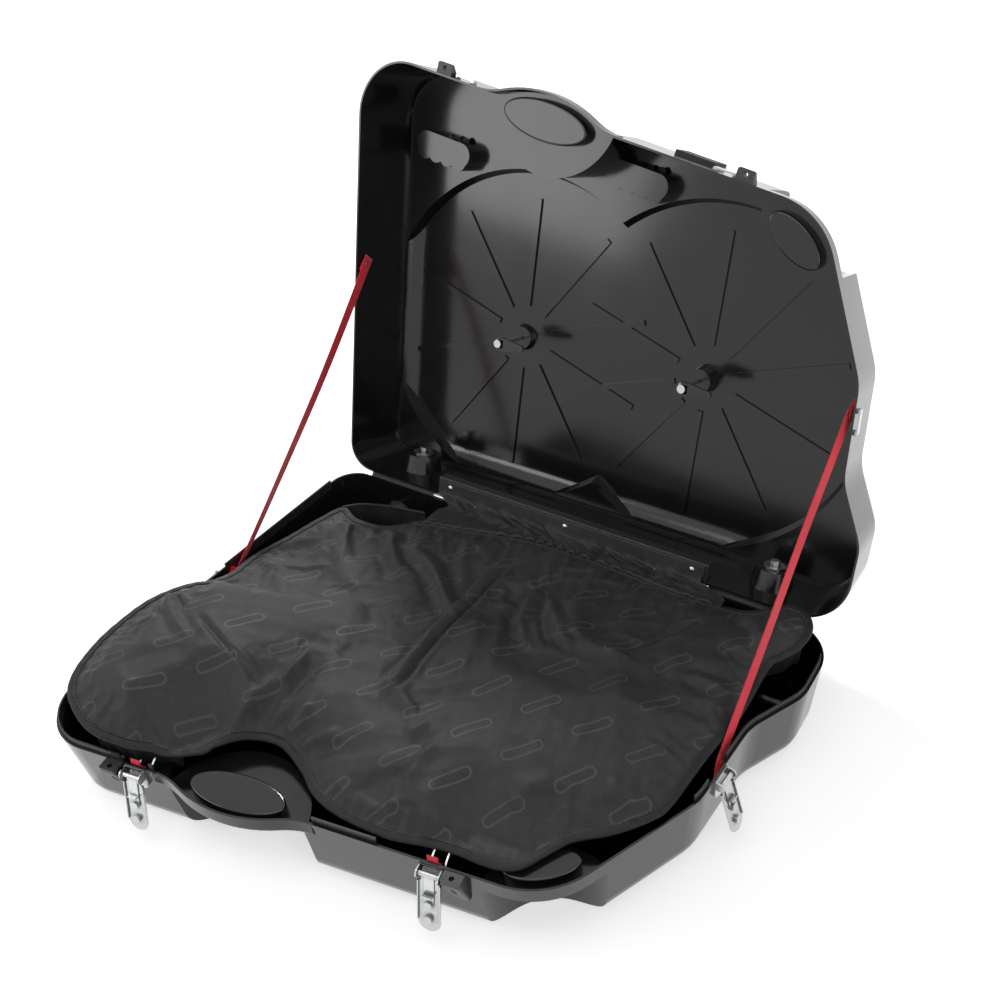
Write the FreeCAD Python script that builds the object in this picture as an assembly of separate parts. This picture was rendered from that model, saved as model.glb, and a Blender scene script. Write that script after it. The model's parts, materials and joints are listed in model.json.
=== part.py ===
"""Hard clamshell travel case for a bicycle, lying open: base on the floor, lid leaning back on its stays."""
import FreeCAD
import Part
import math
import os

from FreeCAD import Vector as V

# Outline of both shells at the rim, seen from above, hinge side at +Y: x, y, corner radius
CORNERS = [(-577, 434, 60), (-608, -468, 110), (411, -307, 150), (538, -30, 120),
           (550, 150, 110), (607, 262, 90), (609, 434, 95)]
LEFT_EDGE, FRONT_EDGE, RIGHT_EDGE = 0, 1, 3
LEAST_CORNER = 12.0

# Shells
WALL = 4.0
BASE_DEPTH = 180.0
BASE_BOTTOM_RADIUS = 60.0
BASE_DRAFT = 5.0
LID_DEPTH = 190.0
LID_TOP_RADIUS = 50.0
LID_DRAFT = 3.2
RIM_GAP = 1.0
LID_OPEN = 109.6
SEAT_GAP = 0.3

# Scooped hand grips: a shelf under the rim, a scoop below it, a finger pocket up through the shelf
SHELF_DEPTH = 30.0
POCKET_TOP = 9.0
BUMP_LENGTH = 320.0
BUMP_OUT = 33.0
BUMP_END_RADIUS = 150.0
BAND_ROUND = 8.0
FRONT_GRIP_AT = 453.0
FRONT_SCOOP_RADIUS = 140.0
FRONT_SCOOP_OUT = 22.0
FRONT_POCKET = (190.0, 74.0)
FRONT_POCKET_IN = 20.0
CORNER_GRIP = 2
CORNER_SCOOP_RADIUS = 118.0
CORNER_POCKET = (128.0, 58.0)
CORNER_POCKET_IN = 74.0

# Lid floor: two round wheel recesses with ribs and hub bosses
RECESS_STEP = 26.0
RECESS_RADIUS = 348.0
RECESS_FLARE = 10.0
HUBS = [(-255.0, 85.0), (185.0, 75.0)]
BOSS_HEIGHTS = [16.0, 38.0]
BOSS_RADII = (30.0, 24.0)
RIB_COUNT = 10
RIB_WIDTH = 12.0
RIB_HEIGHT = 5.0
RIB_START = 70.0
RIB_END = 300.0

# Carry grips on the lid's floor: blister with finger scallops, plate outside
CARRY_GRIPS = [(-470.0, -285.0), (-5.0, -293.0)]
CARRY_LENGTH = 130.0
CARRY_WIDTH = 42.0
CARRY_DEPTH = 40.0
SCALLOP_COUNT = 4
SCALLOP_RADIUS = 15.0
PLATE_SIZE = (104.0, 46.0, 5.0)
PLATE_OVERHANG = 12.0
SCREW_SPACING = 70.0
SCREW_HEAD = (4.5, 2.5)

# Caster wells on the hinge side and the swivel casters in them
CASTERS_X = (-435.0, 435.0)
CASTER_DEPTH = 88.0
WELL_DEPTH = 42.0
WELL_MOUTH_RADIUS = 42.0
WELL_TOP_RADIUS = 34.0
STEM_RADIUS = 5.0
RUN_FIT = 0.05
FORK_DISC = (19.0, 5.0)
FORK_CHEEK = 2.5
CASTER_TRAIL = 14.0
CASTER_DROP = 38.0
CASTER_WHEEL_RADIUS = 20.0
CASTER_WHEEL_WIDTH = 17.0
CASTER_AXLE_RADIUS = 3.0
CHEEK_GAP = 0.8
STEM_WASHER = (23.0, 3.0)
STEM_NUT = (9.5, 11.0)

# Hinge: leaves on the two back walls, knuckles on one pin
HINGE_LENGTH = 665.0
HINGE_OUT = 6.0
KNUCKLE_RADIUS = 5.5
KNUCKLE_COUNT = 9
KNUCKLE_GAP = 0.4
PIN_RADIUS = 2.5
LEAF_HEIGHT = 34.0
LEAF_THICK = 2.0
RAIL_LENGTH = 655.0
RAIL_WIDTH = 36.0
RAIL_LIP = 26.0
RAIL_THICK = 3.0
FLAP_THICK = 3.5
FLAP_RIVET_INSET = 32.5
RIVET_HEAD = (6.0, 2.0)
RIVET_SHANK = 2.5

# Latches: plate on the base wall, hook lever on a pin, keeper on the lid
LATCHES = [("front_left", FRONT_EDGE, 254.0), ("front_right", FRONT_EDGE, 834.0),
           ("right", RIGHT_EDGE, 70.0), ("left", LEFT_EDGE, 430.0)]
LATCH_WIDTH = 42.0
LATCH_PLATE_HEIGHT = 56.0
LATCH_PLATE_THICK = 2.5
EAR_THICK = 2.5
EAR_SIZE = 9.0
PIVOT_OUT = 11.0
PIVOT_DOWN = 14.0
LATCH_PIN_RADIUS = 2.5
BARREL_RADIUS = 4.6
LEVER_LENGTH = 118.0
LEVER_TILT = 16.0
LEVER_THICK = 2.0
LEVER_BACK = 4.0
LEVER_FLANGE = 5.0
HOOK_WIDTH = 18.0
HOOK_REACH = 40.0
HOOK_LIP = 8.0
HOOK_THICK = 3.0
LATCH_PLAY = 1.2
PEG_RADIUS = 7.0
PEG_HEIGHT = 6.0
PEGS_DOWN = (62.0, 92.0)
PAD_THICK = 3.0
PAD_LENGTH = 56.0
KEEPER_LENGTH = 48.0
KEEPER_WIDTH = 14.0
KEEPER_BAR = 3.0
KEEPER_RISE = 4.0

# Padlock lugs beside the two front latches: edge distance from the latch
LUGS = [("left", 0, -42.0), ("right", 1, 42.0)]
LUG_WIDTH = 35.0
LUG_OUT = 22.0
BASE_LUG_HEIGHT = 75.0
LID_LUG_HEIGHT = 30.0
LUG_TOP = 9.0
LUG_HOLE_RADIUS = 4.5
LUG_ROUND = 5.0

# Tongue strips inside the base rim
TONGUE_OFF = 1.0
TONGUE_THICK = 3.0
TONGUE_RISE = 12.0
TONGUE_ROOT = 10.0
TONGUE_GAP = 62.0
TONGUE_BACK = 70.0

# Stay straps and their rivets: edge, distance on the base, distance on the lid
STAYS = [("left", LEFT_EDGE, 393.0, 462.0), ("right", RIGHT_EDGE, 86.0, 50.0)]
STAY_WIDTH = 25.0
STAY_THICK = 1.6
STAY_DEPTH = 24.0
STAY_END = 16.0

# Padded cover over the base
COVER_THICK = 9.0
COVER_BACK = 62.0
COVER_GRID = (26, 20)
# Hem seen from above, with its height over the rim, round from the hinge corner's pocket
COVER_HEM = [(-293, 333, 16), (-318, 313, 14), (-364, 285, 12), (-431, 282, 10), (-482, 299, 10),
             (-507, 243, 8), (-525, 172, 8), (-546, 83, 12), (-528, -3, 35), (-522, -49, 58),
             (-542, -85, 70), (-573, -159, 76), (-576, -255, 78), (-562, -329, 78), (-538, -383, 74),
             (-502, -412, 66), (-443, -430, 50), (-378, -418, 34), (-336, -400, 26), (-304, -389, 20),
             (-262, -356, 14), (-251, -329, 11), (-212, -288, 9), (-154, -274, 8), (-83, -298, 8),
             (-30, -327, 8), (34, -339, 8), (124, -335, 8), (195, -316, 8), (239, -306, 8),
             (285, -301, 5), (313, -295, 3), (336, -285, 3), (351, -268, 3), (370, -232, 3),
             (393, -196, 4), (445, -158, 12), (488, -106, 14), (503, -63, 14), (513, 53, 14),
             (527, 152, 16), (529, 272, 22), (545, 302, 30), (564, 331, 38), (571, 371, 44),
             (562, 399, 47), (544, 415, 48), (512, 421, 47), (471, 402, 34), (436, 390, 24),
             (388, 390, 18), (263, 382, 22), (112, 399, 24), (-31, 389, 24), (-177, 354, 22)]
# Heights of the cover over the rim between its hems: back, shelf behind the lobe, lobe, middle, front, right
COVER_RISES = [(-427, 192, 20), (-282, 179, 26), (-450, 122, 20), (-216, 263, 26), (-467, 28, 30),
               (-381, 47, 34), (-274, 74, 38), (-429, -60, 72), (-345, -34, 66), (-271, 1, 58),
               (-184, 46, 48), (-433, -332, 88), (-406, -237, 90), (-294, -303, 80), (-355, -370, 58),
               (-303, -168, 76), (-248, -97, 64), (-507, -314, 86), (-109, -124, 52), (-141, -225, 44),
               (-94, 4, 46), (-79, 143, 38), (74, -74, 46), (74, -220, 42), (6, -271, 32), (55, 51, 48),
               (187, -20, 52), (311, -94, 44), (309, 48, 48), (430, 0, 36), (235, -221, 38),
               (325, -235, 5), (402, -121, 26), (458, 139, 36), (473, 279, 40), (317, 223, 42),
               (113, 241, 40), (143, 347, 32), (374, 319, 36), (520, 350, 50), (-224, -272, 20),
               (179, -284, 24)]

# Cover loops and snap hooks inside the front wall
LOOP_WIDTH = 20.0
LOOP_THICK = 1.6
LOOP_DOWN = 30.0
LOOP_BEND = 5.0
HOOK_WIRE = 2.0
HOOK_RING = (44.0, 26.0)
HOOK_SLOPE = 30.0

# Ribbed stand pad on the lid's outer front wall
STAND_PAD_AT = 744.0
STAND_PAD_SIZE = (85.0, 58.0, 9.0)
STAND_PAD_DEPTH = 0.42 * LID_DEPTH
STAND_PAD_RIBS = 6
STAND_PAD_GROOVE = 3.0

# Wheel skewers in the hub bosses: depth of the head below the lid rim
SKEWER_TOPS = [70.0, 56.0]
SKEWER_RADIUS = 4.5
SKEWER_CAP = (15.0, 5.0)
SKEWER_FLANGE = (13.0, 5.0)
SKEWER_HEAD = (8.5, 15.0)
CAM_PIN_RADIUS = 2.5
CAM_LEVER_LENGTH = 62.0
CAM_LEVER_WIDTH = 15.0
CAM_LEVER_THICK = 6.0

RIM_Z = BASE_DEPTH
LID_Z = RIM_Z + RIM_GAP
HINGE_Y = CORNERS[0][1] + HINGE_OUT
HINGE_Z = RIM_Z + RIM_GAP / 2
UP = V(0, 0, 1)


def put(name, shape):
    """Writes one node."""
    shape.exportStep("parts/%s.step" % name)


def lid_pose(shape):
    """Swings a piece built on the closed lid to the open rest position."""
    turned = shape.copy()
    turned.rotate(V(0, HINGE_Y, HINGE_Z), V(1, 0, 0), -LID_OPEN)
    return turned


# Outline and local frames

def edge_vectors(index):
    """Start, direction and inward normal of one straight side of the outline."""
    ax, ay, _ = CORNERS[index]
    bx, by, _ = CORNERS[(index + 1) % len(CORNERS)]
    along = V(bx - ax, by - ay, 0).normalize()
    return V(ax, ay, 0), along, V(-along.y, along.x, 0)


def inset_corner(index, inset):
    """Corner of the outline moved inwards, with the radius of the parallel curve."""
    corner, along, inward = edge_vectors(index)
    _, before, before_inward = edge_vectors(index - 1)
    moved = corner + (before_inward + inward) * (inset / (1 + before_inward.dot(inward)))
    convex = before.cross(along).z > 0
    radius = CORNERS[index][2]
    radius = max(radius - inset, LEAST_CORNER) if convex else radius + inset
    return moved, before, along, radius


def outline(inset, z):
    """Closed wire parallel to the rim."""
    arcs = []
    for index in range(len(CORNERS)):
        corner, before, along, radius = inset_corner(index, inset)
        turn = before.getAngle(along)
        reach = radius * math.tan(turn / 2)
        start = corner - before * reach
        end = corner + along * reach
        middle = (along - before).normalize() * (radius / math.cos(turn / 2) - radius)
        arcs.append([point + UP * z for point in (start, corner + middle, end)])
    edges = []
    for (start, middle, end), following in zip(arcs, arcs[1:] + arcs[:1]):
        edges.append(Part.Arc(start, middle, end).toShape())
        edges.append(Part.makeLine(end, following[0]))
    return Part.Wire(edges)


def tub(depth, radius, draft, rim_inset, way):
    """Solid tub from the rim plane: drafted walls, then a large round into the floor."""
    slope = math.tan(math.radians(draft))
    wall_end = depth - radius + radius * math.sin(math.radians(draft))
    wall_inset = rim_inset + wall_end * slope
    centre = wall_inset + radius * math.cos(math.radians(draft))
    sections = [outline(wall_inset, way * wall_end)]
    for angle in (30, 55, 75, 90):
        turn = math.radians(angle)
        level = way * (depth - radius + radius * math.sin(turn))
        sections.append(outline(centre - radius * math.cos(turn), level))
    wall = Part.makeLoft([outline(rim_inset, 0), sections[0]], True, True)
    return wall.fuse(Part.makeLoft(sections, True, False))


def wall_frame(index, distance, z=0.0):
    """Placement on the rim: X along the rim, Y outwards, Z up."""
    start, along, inward = edge_vectors(index)
    origin = start + along * distance + UP * z
    out = inward * -1
    matrix = FreeCAD.Matrix(out.y, out.x, 0, origin.x, -out.x, out.y, 0, origin.y,
                            0, 0, 1, origin.z, 0, 0, 0, 1)
    return FreeCAD.Placement(matrix)


def placed(shape, placement):
    """Copy of a shape moved into a frame."""
    moved = shape.copy()
    moved.Placement = placement.multiply(moved.Placement)
    return moved


def block(x0, x1, y0, y1, z0, z1):
    """Box from its limits."""
    return Part.makeBox(x1 - x0, y1 - y0, z1 - z0, V(x0, y0, z0))


def rod(radius, start, end):
    """Cylinder from point to point."""
    axis = end - start
    return Part.makeCylinder(radius, axis.Length, start, axis)


def slab(points, direction):
    """Prism of a closed polygon."""
    return Part.Face(Part.makePolygon(points + points[:1])).extrude(direction)


def stadium(length, width, z0, z1):
    """Upright prism with round ends, along X."""
    half = (length - width) / 2
    ends = [Part.makeCylinder(width / 2, z1 - z0, V(x, 0, z0)) for x in (-half, half)]
    return block(-half, half, -width / 2, width / 2, z0, z1).multiFuse(ends).removeSplitter()


def ellipse_prism(length, width, z0, z1):
    """Upright elliptic prism, long side along X."""
    wire = Part.Wire(Part.Ellipse(V(0, 0, z0), length / 2, width / 2).toShape())
    return Part.Face(wire).extrude(UP * (z1 - z0))


# Scooped hand grips

def bump(inset, depth, way):
    """Outward swell of the front rim over its grip: two hollow arcs run into one full arc."""
    half = BUMP_LENGTH / 2
    turn = 2 * math.atan(BUMP_OUT / half)
    full_radius = half / math.sin(turn) - BUMP_END_RADIUS
    hollow = BUMP_END_RADIUS + inset
    full = full_radius - inset
    low = -inset
    high = BUMP_OUT - inset
    join = V(-half + hollow * math.sin(turn), low + hollow * (1 - math.cos(turn)), 0)
    near = V(-half + hollow * math.sin(turn / 2), low + hollow * (1 - math.cos(turn / 2)), 0)
    mirror = [V(-p.x, p.y, 0) for p in (join, near)]
    start = V(-half, low, 0)
    end = V(half, low, 0)
    root = V(0, -FRONT_SCOOP_RADIUS / 2, 0)
    edges = [Part.Arc(start, near, join).toShape(),
             Part.Arc(join, V(0, high, 0), mirror[0]).toShape(),
             Part.Arc(mirror[0], mirror[1], end).toShape(),
             Part.makeLine(end, end + root),
             Part.makeLine(end + root, start + root),
             Part.makeLine(start + root, start)]
    prism = Part.Face(Part.Wire(edges)).extrude(UP * (way * depth))
    far_edges = [edge for edge in prism.Edges
                 if edge.Length > full / 2 and abs(edge.CenterOfMass.z - way * depth) < WALL / 8
                 and edge.CenterOfMass.y > low + WALL]
    return prism.makeFillet(BAND_ROUND - inset, far_edges)


def corner_frame():
    """Placement on the outline corner that carries the second grip: Y outwards along the bisector."""
    corner, before, along, _ = inset_corner(CORNER_GRIP, 0.0)
    out = (before - along).normalize()
    matrix = FreeCAD.Matrix(out.y, out.x, 0, corner.x, -out.x, out.y, 0, corner.y, 0, 0, 1, 0, 0, 0, 0, 1)
    return FreeCAD.Placement(matrix)


def hand_grips():
    """The two grips: frame, scoop centre outwards, scoop radius, pocket size, pocket centre inwards."""
    front = wall_frame(FRONT_EDGE, FRONT_GRIP_AT)
    return [(front, FRONT_SCOOP_OUT, FRONT_SCOOP_RADIUS, FRONT_POCKET, FRONT_POCKET_IN),
            (corner_frame(), 0.0, CORNER_SCOOP_RADIUS, CORNER_POCKET, CORNER_POCKET_IN)]


def upright(low, high, way):
    """Height limits of a feature between two depths, in ascending order."""
    return sorted((way * low, way * high))


def shape_grips(outer, inner, depth, way):
    """Adds the rim swell and cuts scoops and finger pockets, outside and inside."""
    swell = wall_frame(FRONT_EDGE, FRONT_GRIP_AT)
    outer = outer.fuse(placed(bump(0.0, SHELF_DEPTH + WALL, way), swell))
    inner = inner.fuse(placed(bump(WALL, SHELF_DEPTH, way), swell))
    for frame, out, radius, (length, width), pocket_in in hand_grips():
        z0, z1 = upright(SHELF_DEPTH + WALL, depth + WALL, way)
        scoop = Part.makeCylinder(radius, z1 - z0, V(0, out, z0))
        z0, z1 = upright(SHELF_DEPTH, depth + WALL, way)
        scoop_skin = Part.makeCylinder(radius + WALL, z1 - z0, V(0, out, z0))
        z0, z1 = upright(POCKET_TOP + WALL, SHELF_DEPTH + 2 * WALL, way)
        pocket = ellipse_prism(length - 2 * WALL, width - 2 * WALL, z0, z1)
        z0, z1 = upright(POCKET_TOP, SHELF_DEPTH + WALL, way)
        dome = ellipse_prism(length, width, z0, z1)
        top = [edge for edge in dome.Edges if abs(edge.CenterOfMass.z - way * POCKET_TOP) < WALL / 8]
        dome = dome.makeFillet(WALL, top)
        for piece in (pocket, dome):
            piece.translate(V(0, -pocket_in, 0))
        outer = outer.cut(placed(scoop, frame)).cut(placed(pocket, frame))
        inner = inner.cut(placed(scoop_skin, frame)).cut(placed(dome, frame))
    return outer, inner


# Caster wells

def well(x, skin, depth, way):
    """Tapered caster well in the hinge-side wall, or its inside skin."""
    mouth = V(x, CORNERS[0][1] + WALL, way * depth)
    taper = (WELL_MOUTH_RADIUS - WELL_TOP_RADIUS) / WELL_DEPTH
    return Part.makeCone(WELL_MOUTH_RADIUS + WALL * taper + skin, WELL_TOP_RADIUS + skin - skin * taper,
                         WELL_DEPTH + WALL + skin, mouth, V(0, -1, 0))


def shape_wells(outer, inner, way):
    """Cuts the two wells and the holes for the caster stems."""
    stems = []
    for x in CASTERS_X:
        outer = outer.cut(well(x, 0.0, CASTER_DEPTH, way))
        inner = inner.cut(well(x, WALL, CASTER_DEPTH, way))
        ceiling = CORNERS[0][1] - WELL_DEPTH
        stems.append(rod(STEM_RADIUS + RUN_FIT, V(x, ceiling + WALL, way * CASTER_DEPTH),
                         V(x, ceiling - 2 * WALL, way * CASTER_DEPTH)))
    return outer, inner, stems


# Shells

def base_solids():
    """Outer and inner bodies of the base, rim plane at zero, floor downwards."""
    outer = tub(BASE_DEPTH, BASE_BOTTOM_RADIUS, BASE_DRAFT, 0.0, -1)
    inner = tub(BASE_DEPTH - WALL, BASE_BOTTOM_RADIUS - WALL, BASE_DRAFT, WALL, -1)
    return outer, inner


def base_shell(outer, inner):
    """Moulded base."""
    outer, inner = shape_grips(outer, inner, BASE_DEPTH, -1)
    outer, inner, stems = shape_wells(outer, inner, -1)
    return outer.cut(inner).cut(Part.makeCompound(stems))


def lid_solids():
    """Outer and inner bodies of the lid before its floor is stepped, rim plane at zero, floor upwards."""
    outer = tub(LID_DEPTH, LID_TOP_RADIUS, LID_DRAFT, 0.0, 1)
    inner = tub(LID_DEPTH - WALL, LID_TOP_RADIUS - WALL, LID_DRAFT, WALL, 1)
    return outer, inner


def step_floor(body, depth, skin):
    """Keeps a tub's full depth inside the two wheel recesses and raises the rest of its floor."""
    span = 3 * RECESS_RADIUS
    step = depth - RECESS_STEP
    keep = [block(-span, span, -span, span, 0, step)]
    for x, y in HUBS:
        keep.append(Part.makeCone(RECESS_RADIUS + RECESS_FLARE + skin, RECESS_RADIUS + skin, RECESS_STEP + WALL,
                                  V(x, y, step - WALL / 2)))
    return body.common(keep[0].multiFuse(keep[1:]))


def recess_ribs(hub, floor):
    """Raised ribs that run out from the hub on the recess floor."""
    ribs = []
    for index in range(RIB_COUNT):
        rib = block(RIB_START, RIB_END, -RIB_WIDTH / 2, RIB_WIDTH / 2, floor - RIB_HEIGHT, floor + WALL / 2)
        rib.rotate(V(0, 0, 0), UP, 360.0 * (index + 0.5) / RIB_COUNT)
        rib.translate(V(hub[0], hub[1], 0))
        ribs.append(rib)
    return ribs


def carry_frame(place):
    """Frame of a carry grip, parallel to the front side."""
    _, along, _ = edge_vectors(FRONT_EDGE)
    return FreeCAD.Placement(V(place[0], place[1], 0), FreeCAD.Rotation(V(1, 0, 0), along))


def carry_hollow(skin, low, high):
    """Blister of a carry grip: a round-ended pocket with finger scallops on its hinge-side edge."""
    pocket = stadium(CARRY_LENGTH + 2 * skin, CARRY_WIDTH + 2 * skin, low, high)
    pitch = (CARRY_LENGTH - CARRY_WIDTH) / (SCALLOP_COUNT - 1)
    for index in range(SCALLOP_COUNT):
        centre = V((index - (SCALLOP_COUNT - 1) / 2) * pitch, CARRY_WIDTH / 2 - SCALLOP_RADIUS / 2, low)
        pocket = pocket.fuse(Part.makeCylinder(SCALLOP_RADIUS + skin, high - low, centre))
    return pocket


def lid_shell(outer, inner):
    """Moulded lid, closed position with its rim plane at zero."""
    outer = step_floor(outer, LID_DEPTH, WALL)
    inner = step_floor(inner, LID_DEPTH - WALL, 0.0)
    outer, inner = shape_grips(outer, inner, LID_DEPTH, 1)
    outer, inner, holes = shape_wells(outer, inner, 1)
    floor = LID_DEPTH - WALL
    raised = []
    for hub, height in zip(HUBS, BOSS_HEIGHTS):
        raised += recess_ribs(hub, floor)
        foot = V(hub[0], hub[1], floor - height)
        raised.append(Part.makeCone(BOSS_RADII[1], BOSS_RADII[0], height + WALL / 2, foot))
        holes.append(Part.makeCylinder(SKEWER_RADIUS + RUN_FIT, LID_DEPTH, V(hub[0], hub[1], 0)))
    for place in CARRY_GRIPS:
        step = floor - RECESS_STEP
        raised.append(placed(carry_hollow(WALL, step - CARRY_DEPTH, floor), carry_frame(place)))
        holes.append(placed(carry_hollow(0.0, step - CARRY_DEPTH + WALL, LID_DEPTH), carry_frame(place)))
    return outer.cut(inner.cut(raised)).cut(holes)


# Tongue strips

def tongue():
    """Strips that stand inside the base rim, broken at the latches, the grips and the hinge side."""
    faces = [Part.Face(outline(WALL + TONGUE_OFF + extra, -TONGUE_ROOT)) for extra in (0.0, TONGUE_THICK)]
    height = UP * (TONGUE_ROOT + TONGUE_RISE)
    ring = faces[0].extrude(height).cut(faces[1].extrude(height))
    span = 2 * BASE_DEPTH
    cuts = []
    for _, edge, distance in LATCHES:
        cuts.append(placed(block(-TONGUE_GAP / 2, TONGUE_GAP / 2, -span / 4, span / 4, -span, span),
                           wall_frame(edge, distance)))
    cuts.append(placed(block(-BUMP_LENGTH / 2, BUMP_LENGTH / 2, -span, span, -span, span),
                       wall_frame(FRONT_EDGE, FRONT_GRIP_AT)))
    corner = Part.makeCylinder(CORNER_SCOOP_RADIUS + span / 2, 2 * span, V(0, 0, -span))
    corner = placed(corner, corner_frame())
    cuts.append(corner)
    back = CORNERS[0][1] - TONGUE_BACK
    cuts.append(block(2 * CORNERS[1][0], 2 * CORNERS[-1][0], back, back + span, -span, span))
    return ring.cut(cuts)


# Hinge, rail and flap

def hinge_segments(parity):
    """Ends of every second knuckle along the hinge."""
    pitch = HINGE_LENGTH / KNUCKLE_COUNT
    for index in range(parity, KNUCKLE_COUNT, 2):
        start = -HINGE_LENGTH / 2 + index * pitch
        yield start + KNUCKLE_GAP / 2, start + pitch - KNUCKLE_GAP / 2


def hinge_leaf(parity, way, tub_body):
    """Leaf seated on the drafted back wall, with its share of the knuckles."""
    wall_y = CORNERS[0][1]
    axis_z = -way * RIM_GAP / 2
    below = KNUCKLE_RADIUS + WALL / 4
    z0, z1 = upright(below, LEAF_HEIGHT, way)
    leaf = block(-HINGE_LENGTH / 2, HINGE_LENGTH / 2, wall_y - LEAF_HEIGHT / 2, wall_y + LEAF_THICK, z0, z1)
    bores = rod(PIN_RADIUS + RUN_FIT, V(-HINGE_LENGTH, HINGE_Y, axis_z), V(HINGE_LENGTH, HINGE_Y, axis_z))
    for start, end in hinge_segments(parity):
        z0, z1 = upright(KNUCKLE_RADIUS / 4, below, way)
        leaf = leaf.fuse(block(start, end, wall_y - WALL, wall_y + LEAF_THICK, z0, z1))
        leaf = leaf.fuse(rod(KNUCKLE_RADIUS, V(start, HINGE_Y, axis_z), V(end, HINGE_Y, axis_z)))
    return leaf.cut(bores).cut(tub_body)


def hinge_pin():
    """Pin through all knuckles, with a small head at each end."""
    reach = HINGE_LENGTH / 2 + WALL / 2
    pin = rod(PIN_RADIUS, V(-reach, HINGE_Y, HINGE_Z), V(reach, HINGE_Y, HINGE_Z))
    for way in (-1, 1):
        head = rod(KNUCKLE_RADIUS - WALL / 4, V(way * (HINGE_LENGTH / 2), HINGE_Y, HINGE_Z),
                   V(way * reach, HINGE_Y, HINGE_Z))
        pin = pin.fuse(head)
    return pin.removeSplitter()


def back_wall_inside(depth):
    """Y of the lid's inner hinge-side wall at a depth."""
    return CORNERS[0][1] - WALL - depth * math.tan(math.radians(LID_DRAFT))


def hinge_rail():
    """Bent profile along the lid's hinge side: leg on the wall, land, turned lip."""
    land = FLAP_THICK + RIM_GAP / 2
    far = CORNERS[0][1] - WALL - RAIL_WIDTH
    deep = land + RAIL_LIP
    profile = [V(0, back_wall_inside(land), land), V(0, far, land), V(0, far, deep),
               V(0, far + RAIL_THICK, deep), V(0, far + RAIL_THICK, land + RAIL_THICK),
               V(0, back_wall_inside(land + RAIL_THICK) - RAIL_THICK, land + RAIL_THICK),
               V(0, back_wall_inside(deep) - RAIL_THICK, deep), V(0, back_wall_inside(deep), deep)]
    rail = slab([p + V(-RAIL_LENGTH / 2, 0, 0) for p in profile], V(RAIL_LENGTH, 0, 0))
    edge = [e for e in rail.Edges if e.Length > RAIL_LENGTH / 2
            and (e.CenterOfMass - V(0, far, land)).Length < RAIL_THICK / 4]
    return rail.makeFillet(0.9 * RAIL_THICK, edge)


def dust_flap():
    """Fabric flap on the rail's land, from the rim to the lip, with holes for its rivets."""
    low = RIM_GAP / 2
    flap = block(-RAIL_LENGTH / 2, RAIL_LENGTH / 2, CORNERS[0][1] - WALL - RAIL_WIDTH + RAIL_THICK,
                 back_wall_inside(low + FLAP_THICK), low, low + FLAP_THICK)
    holes = []
    for x in flap_rivets_x():
        holes.append(rod(RIVET_SHANK, V(x, flap_rivet_y(), -WALL), V(x, flap_rivet_y(), 2 * WALL)))
    return flap.cut(holes)


def flap_rivets_x():
    """Places of the flap's rivets: near both ends and in the middle."""
    return (FLAP_RIVET_INSET - RAIL_LENGTH / 2, 0.0, RAIL_LENGTH / 2 - FLAP_RIVET_INSET)


def flap_rivet_y():
    """Line of the flap's rivets, midway on the land."""
    return CORNERS[0][1] - WALL - RAIL_WIDTH / 2


def flap_rivets():
    """Rivets through the flap, heads on the open side."""
    rivets = []
    for x in flap_rivets_x():
        low = RIM_GAP / 2
        shank = rod(RIVET_SHANK, V(x, flap_rivet_y(), low), V(x, flap_rivet_y(), low + FLAP_THICK))
        rivets.append(shank.fuse(dome_head(V(x, flap_rivet_y(), low), V(0, 0, -1))))
    return rivets


def dome_head(point, out):
    """Round rivet head on a surface point."""
    radius, height = RIVET_HEAD
    ball_radius = (radius ** 2 + height ** 2) / (2 * height)
    lean = math.asin(radius / ball_radius) / 2
    shoulder = V(ball_radius * math.sin(lean), 0, height - ball_radius * (1 - math.cos(lean)))
    edges = [Part.makeLine(V(0, 0, 0), V(radius, 0, 0)),
             Part.Arc(V(radius, 0, 0), shoulder, V(0, 0, height)).toShape(),
             Part.makeLine(V(0, 0, height), V(0, 0, 0))]
    cap = Part.Face(Part.Wire(edges)).revolve(V(0, 0, 0), UP, 360)
    return placed(cap, FreeCAD.Placement(point, FreeCAD.Rotation(UP, out)))


# Latches

def pivot():
    """Latch pin in the latch frame."""
    return V(0, PIVOT_OUT, -PIVOT_DOWN)


def latch_plate(tub_body, frame):
    """Plate with a round lower end on the drafted wall, two ears and the pin."""
    half = LATCH_WIDTH / 2
    straight = LATCH_PLATE_HEIGHT - half
    plate = block(-half, half, -PIVOT_OUT, LATCH_PLATE_THICK, -straight, -WALL)
    plate = plate.fuse(rod(half, V(0, -PIVOT_OUT, -straight), V(0, LATCH_PLATE_THICK, -straight)))
    pin = pivot()
    for way in (-1, 1):
        x0, x1 = sorted((way * (half - EAR_THICK), way * half))
        ear = block(x0, x1, 0, pin.y, pin.z - EAR_SIZE, pin.z + EAR_SIZE)
        ear = ear.fuse(rod(EAR_SIZE, V(x0, pin.y, pin.z), V(x1, pin.y, pin.z)))
        plate = plate.fuse(ear)
    plate = plate.fuse(rod(LATCH_PIN_RADIUS, V(-half, pin.y, pin.z), V(half, pin.y, pin.z)))
    plate = plate.fuse(dome_head(V(0, LATCH_PLATE_THICK, -straight - half / 3), V(0, 1, 0)))
    return placed(plate, frame).cut(tub_body)


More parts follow.
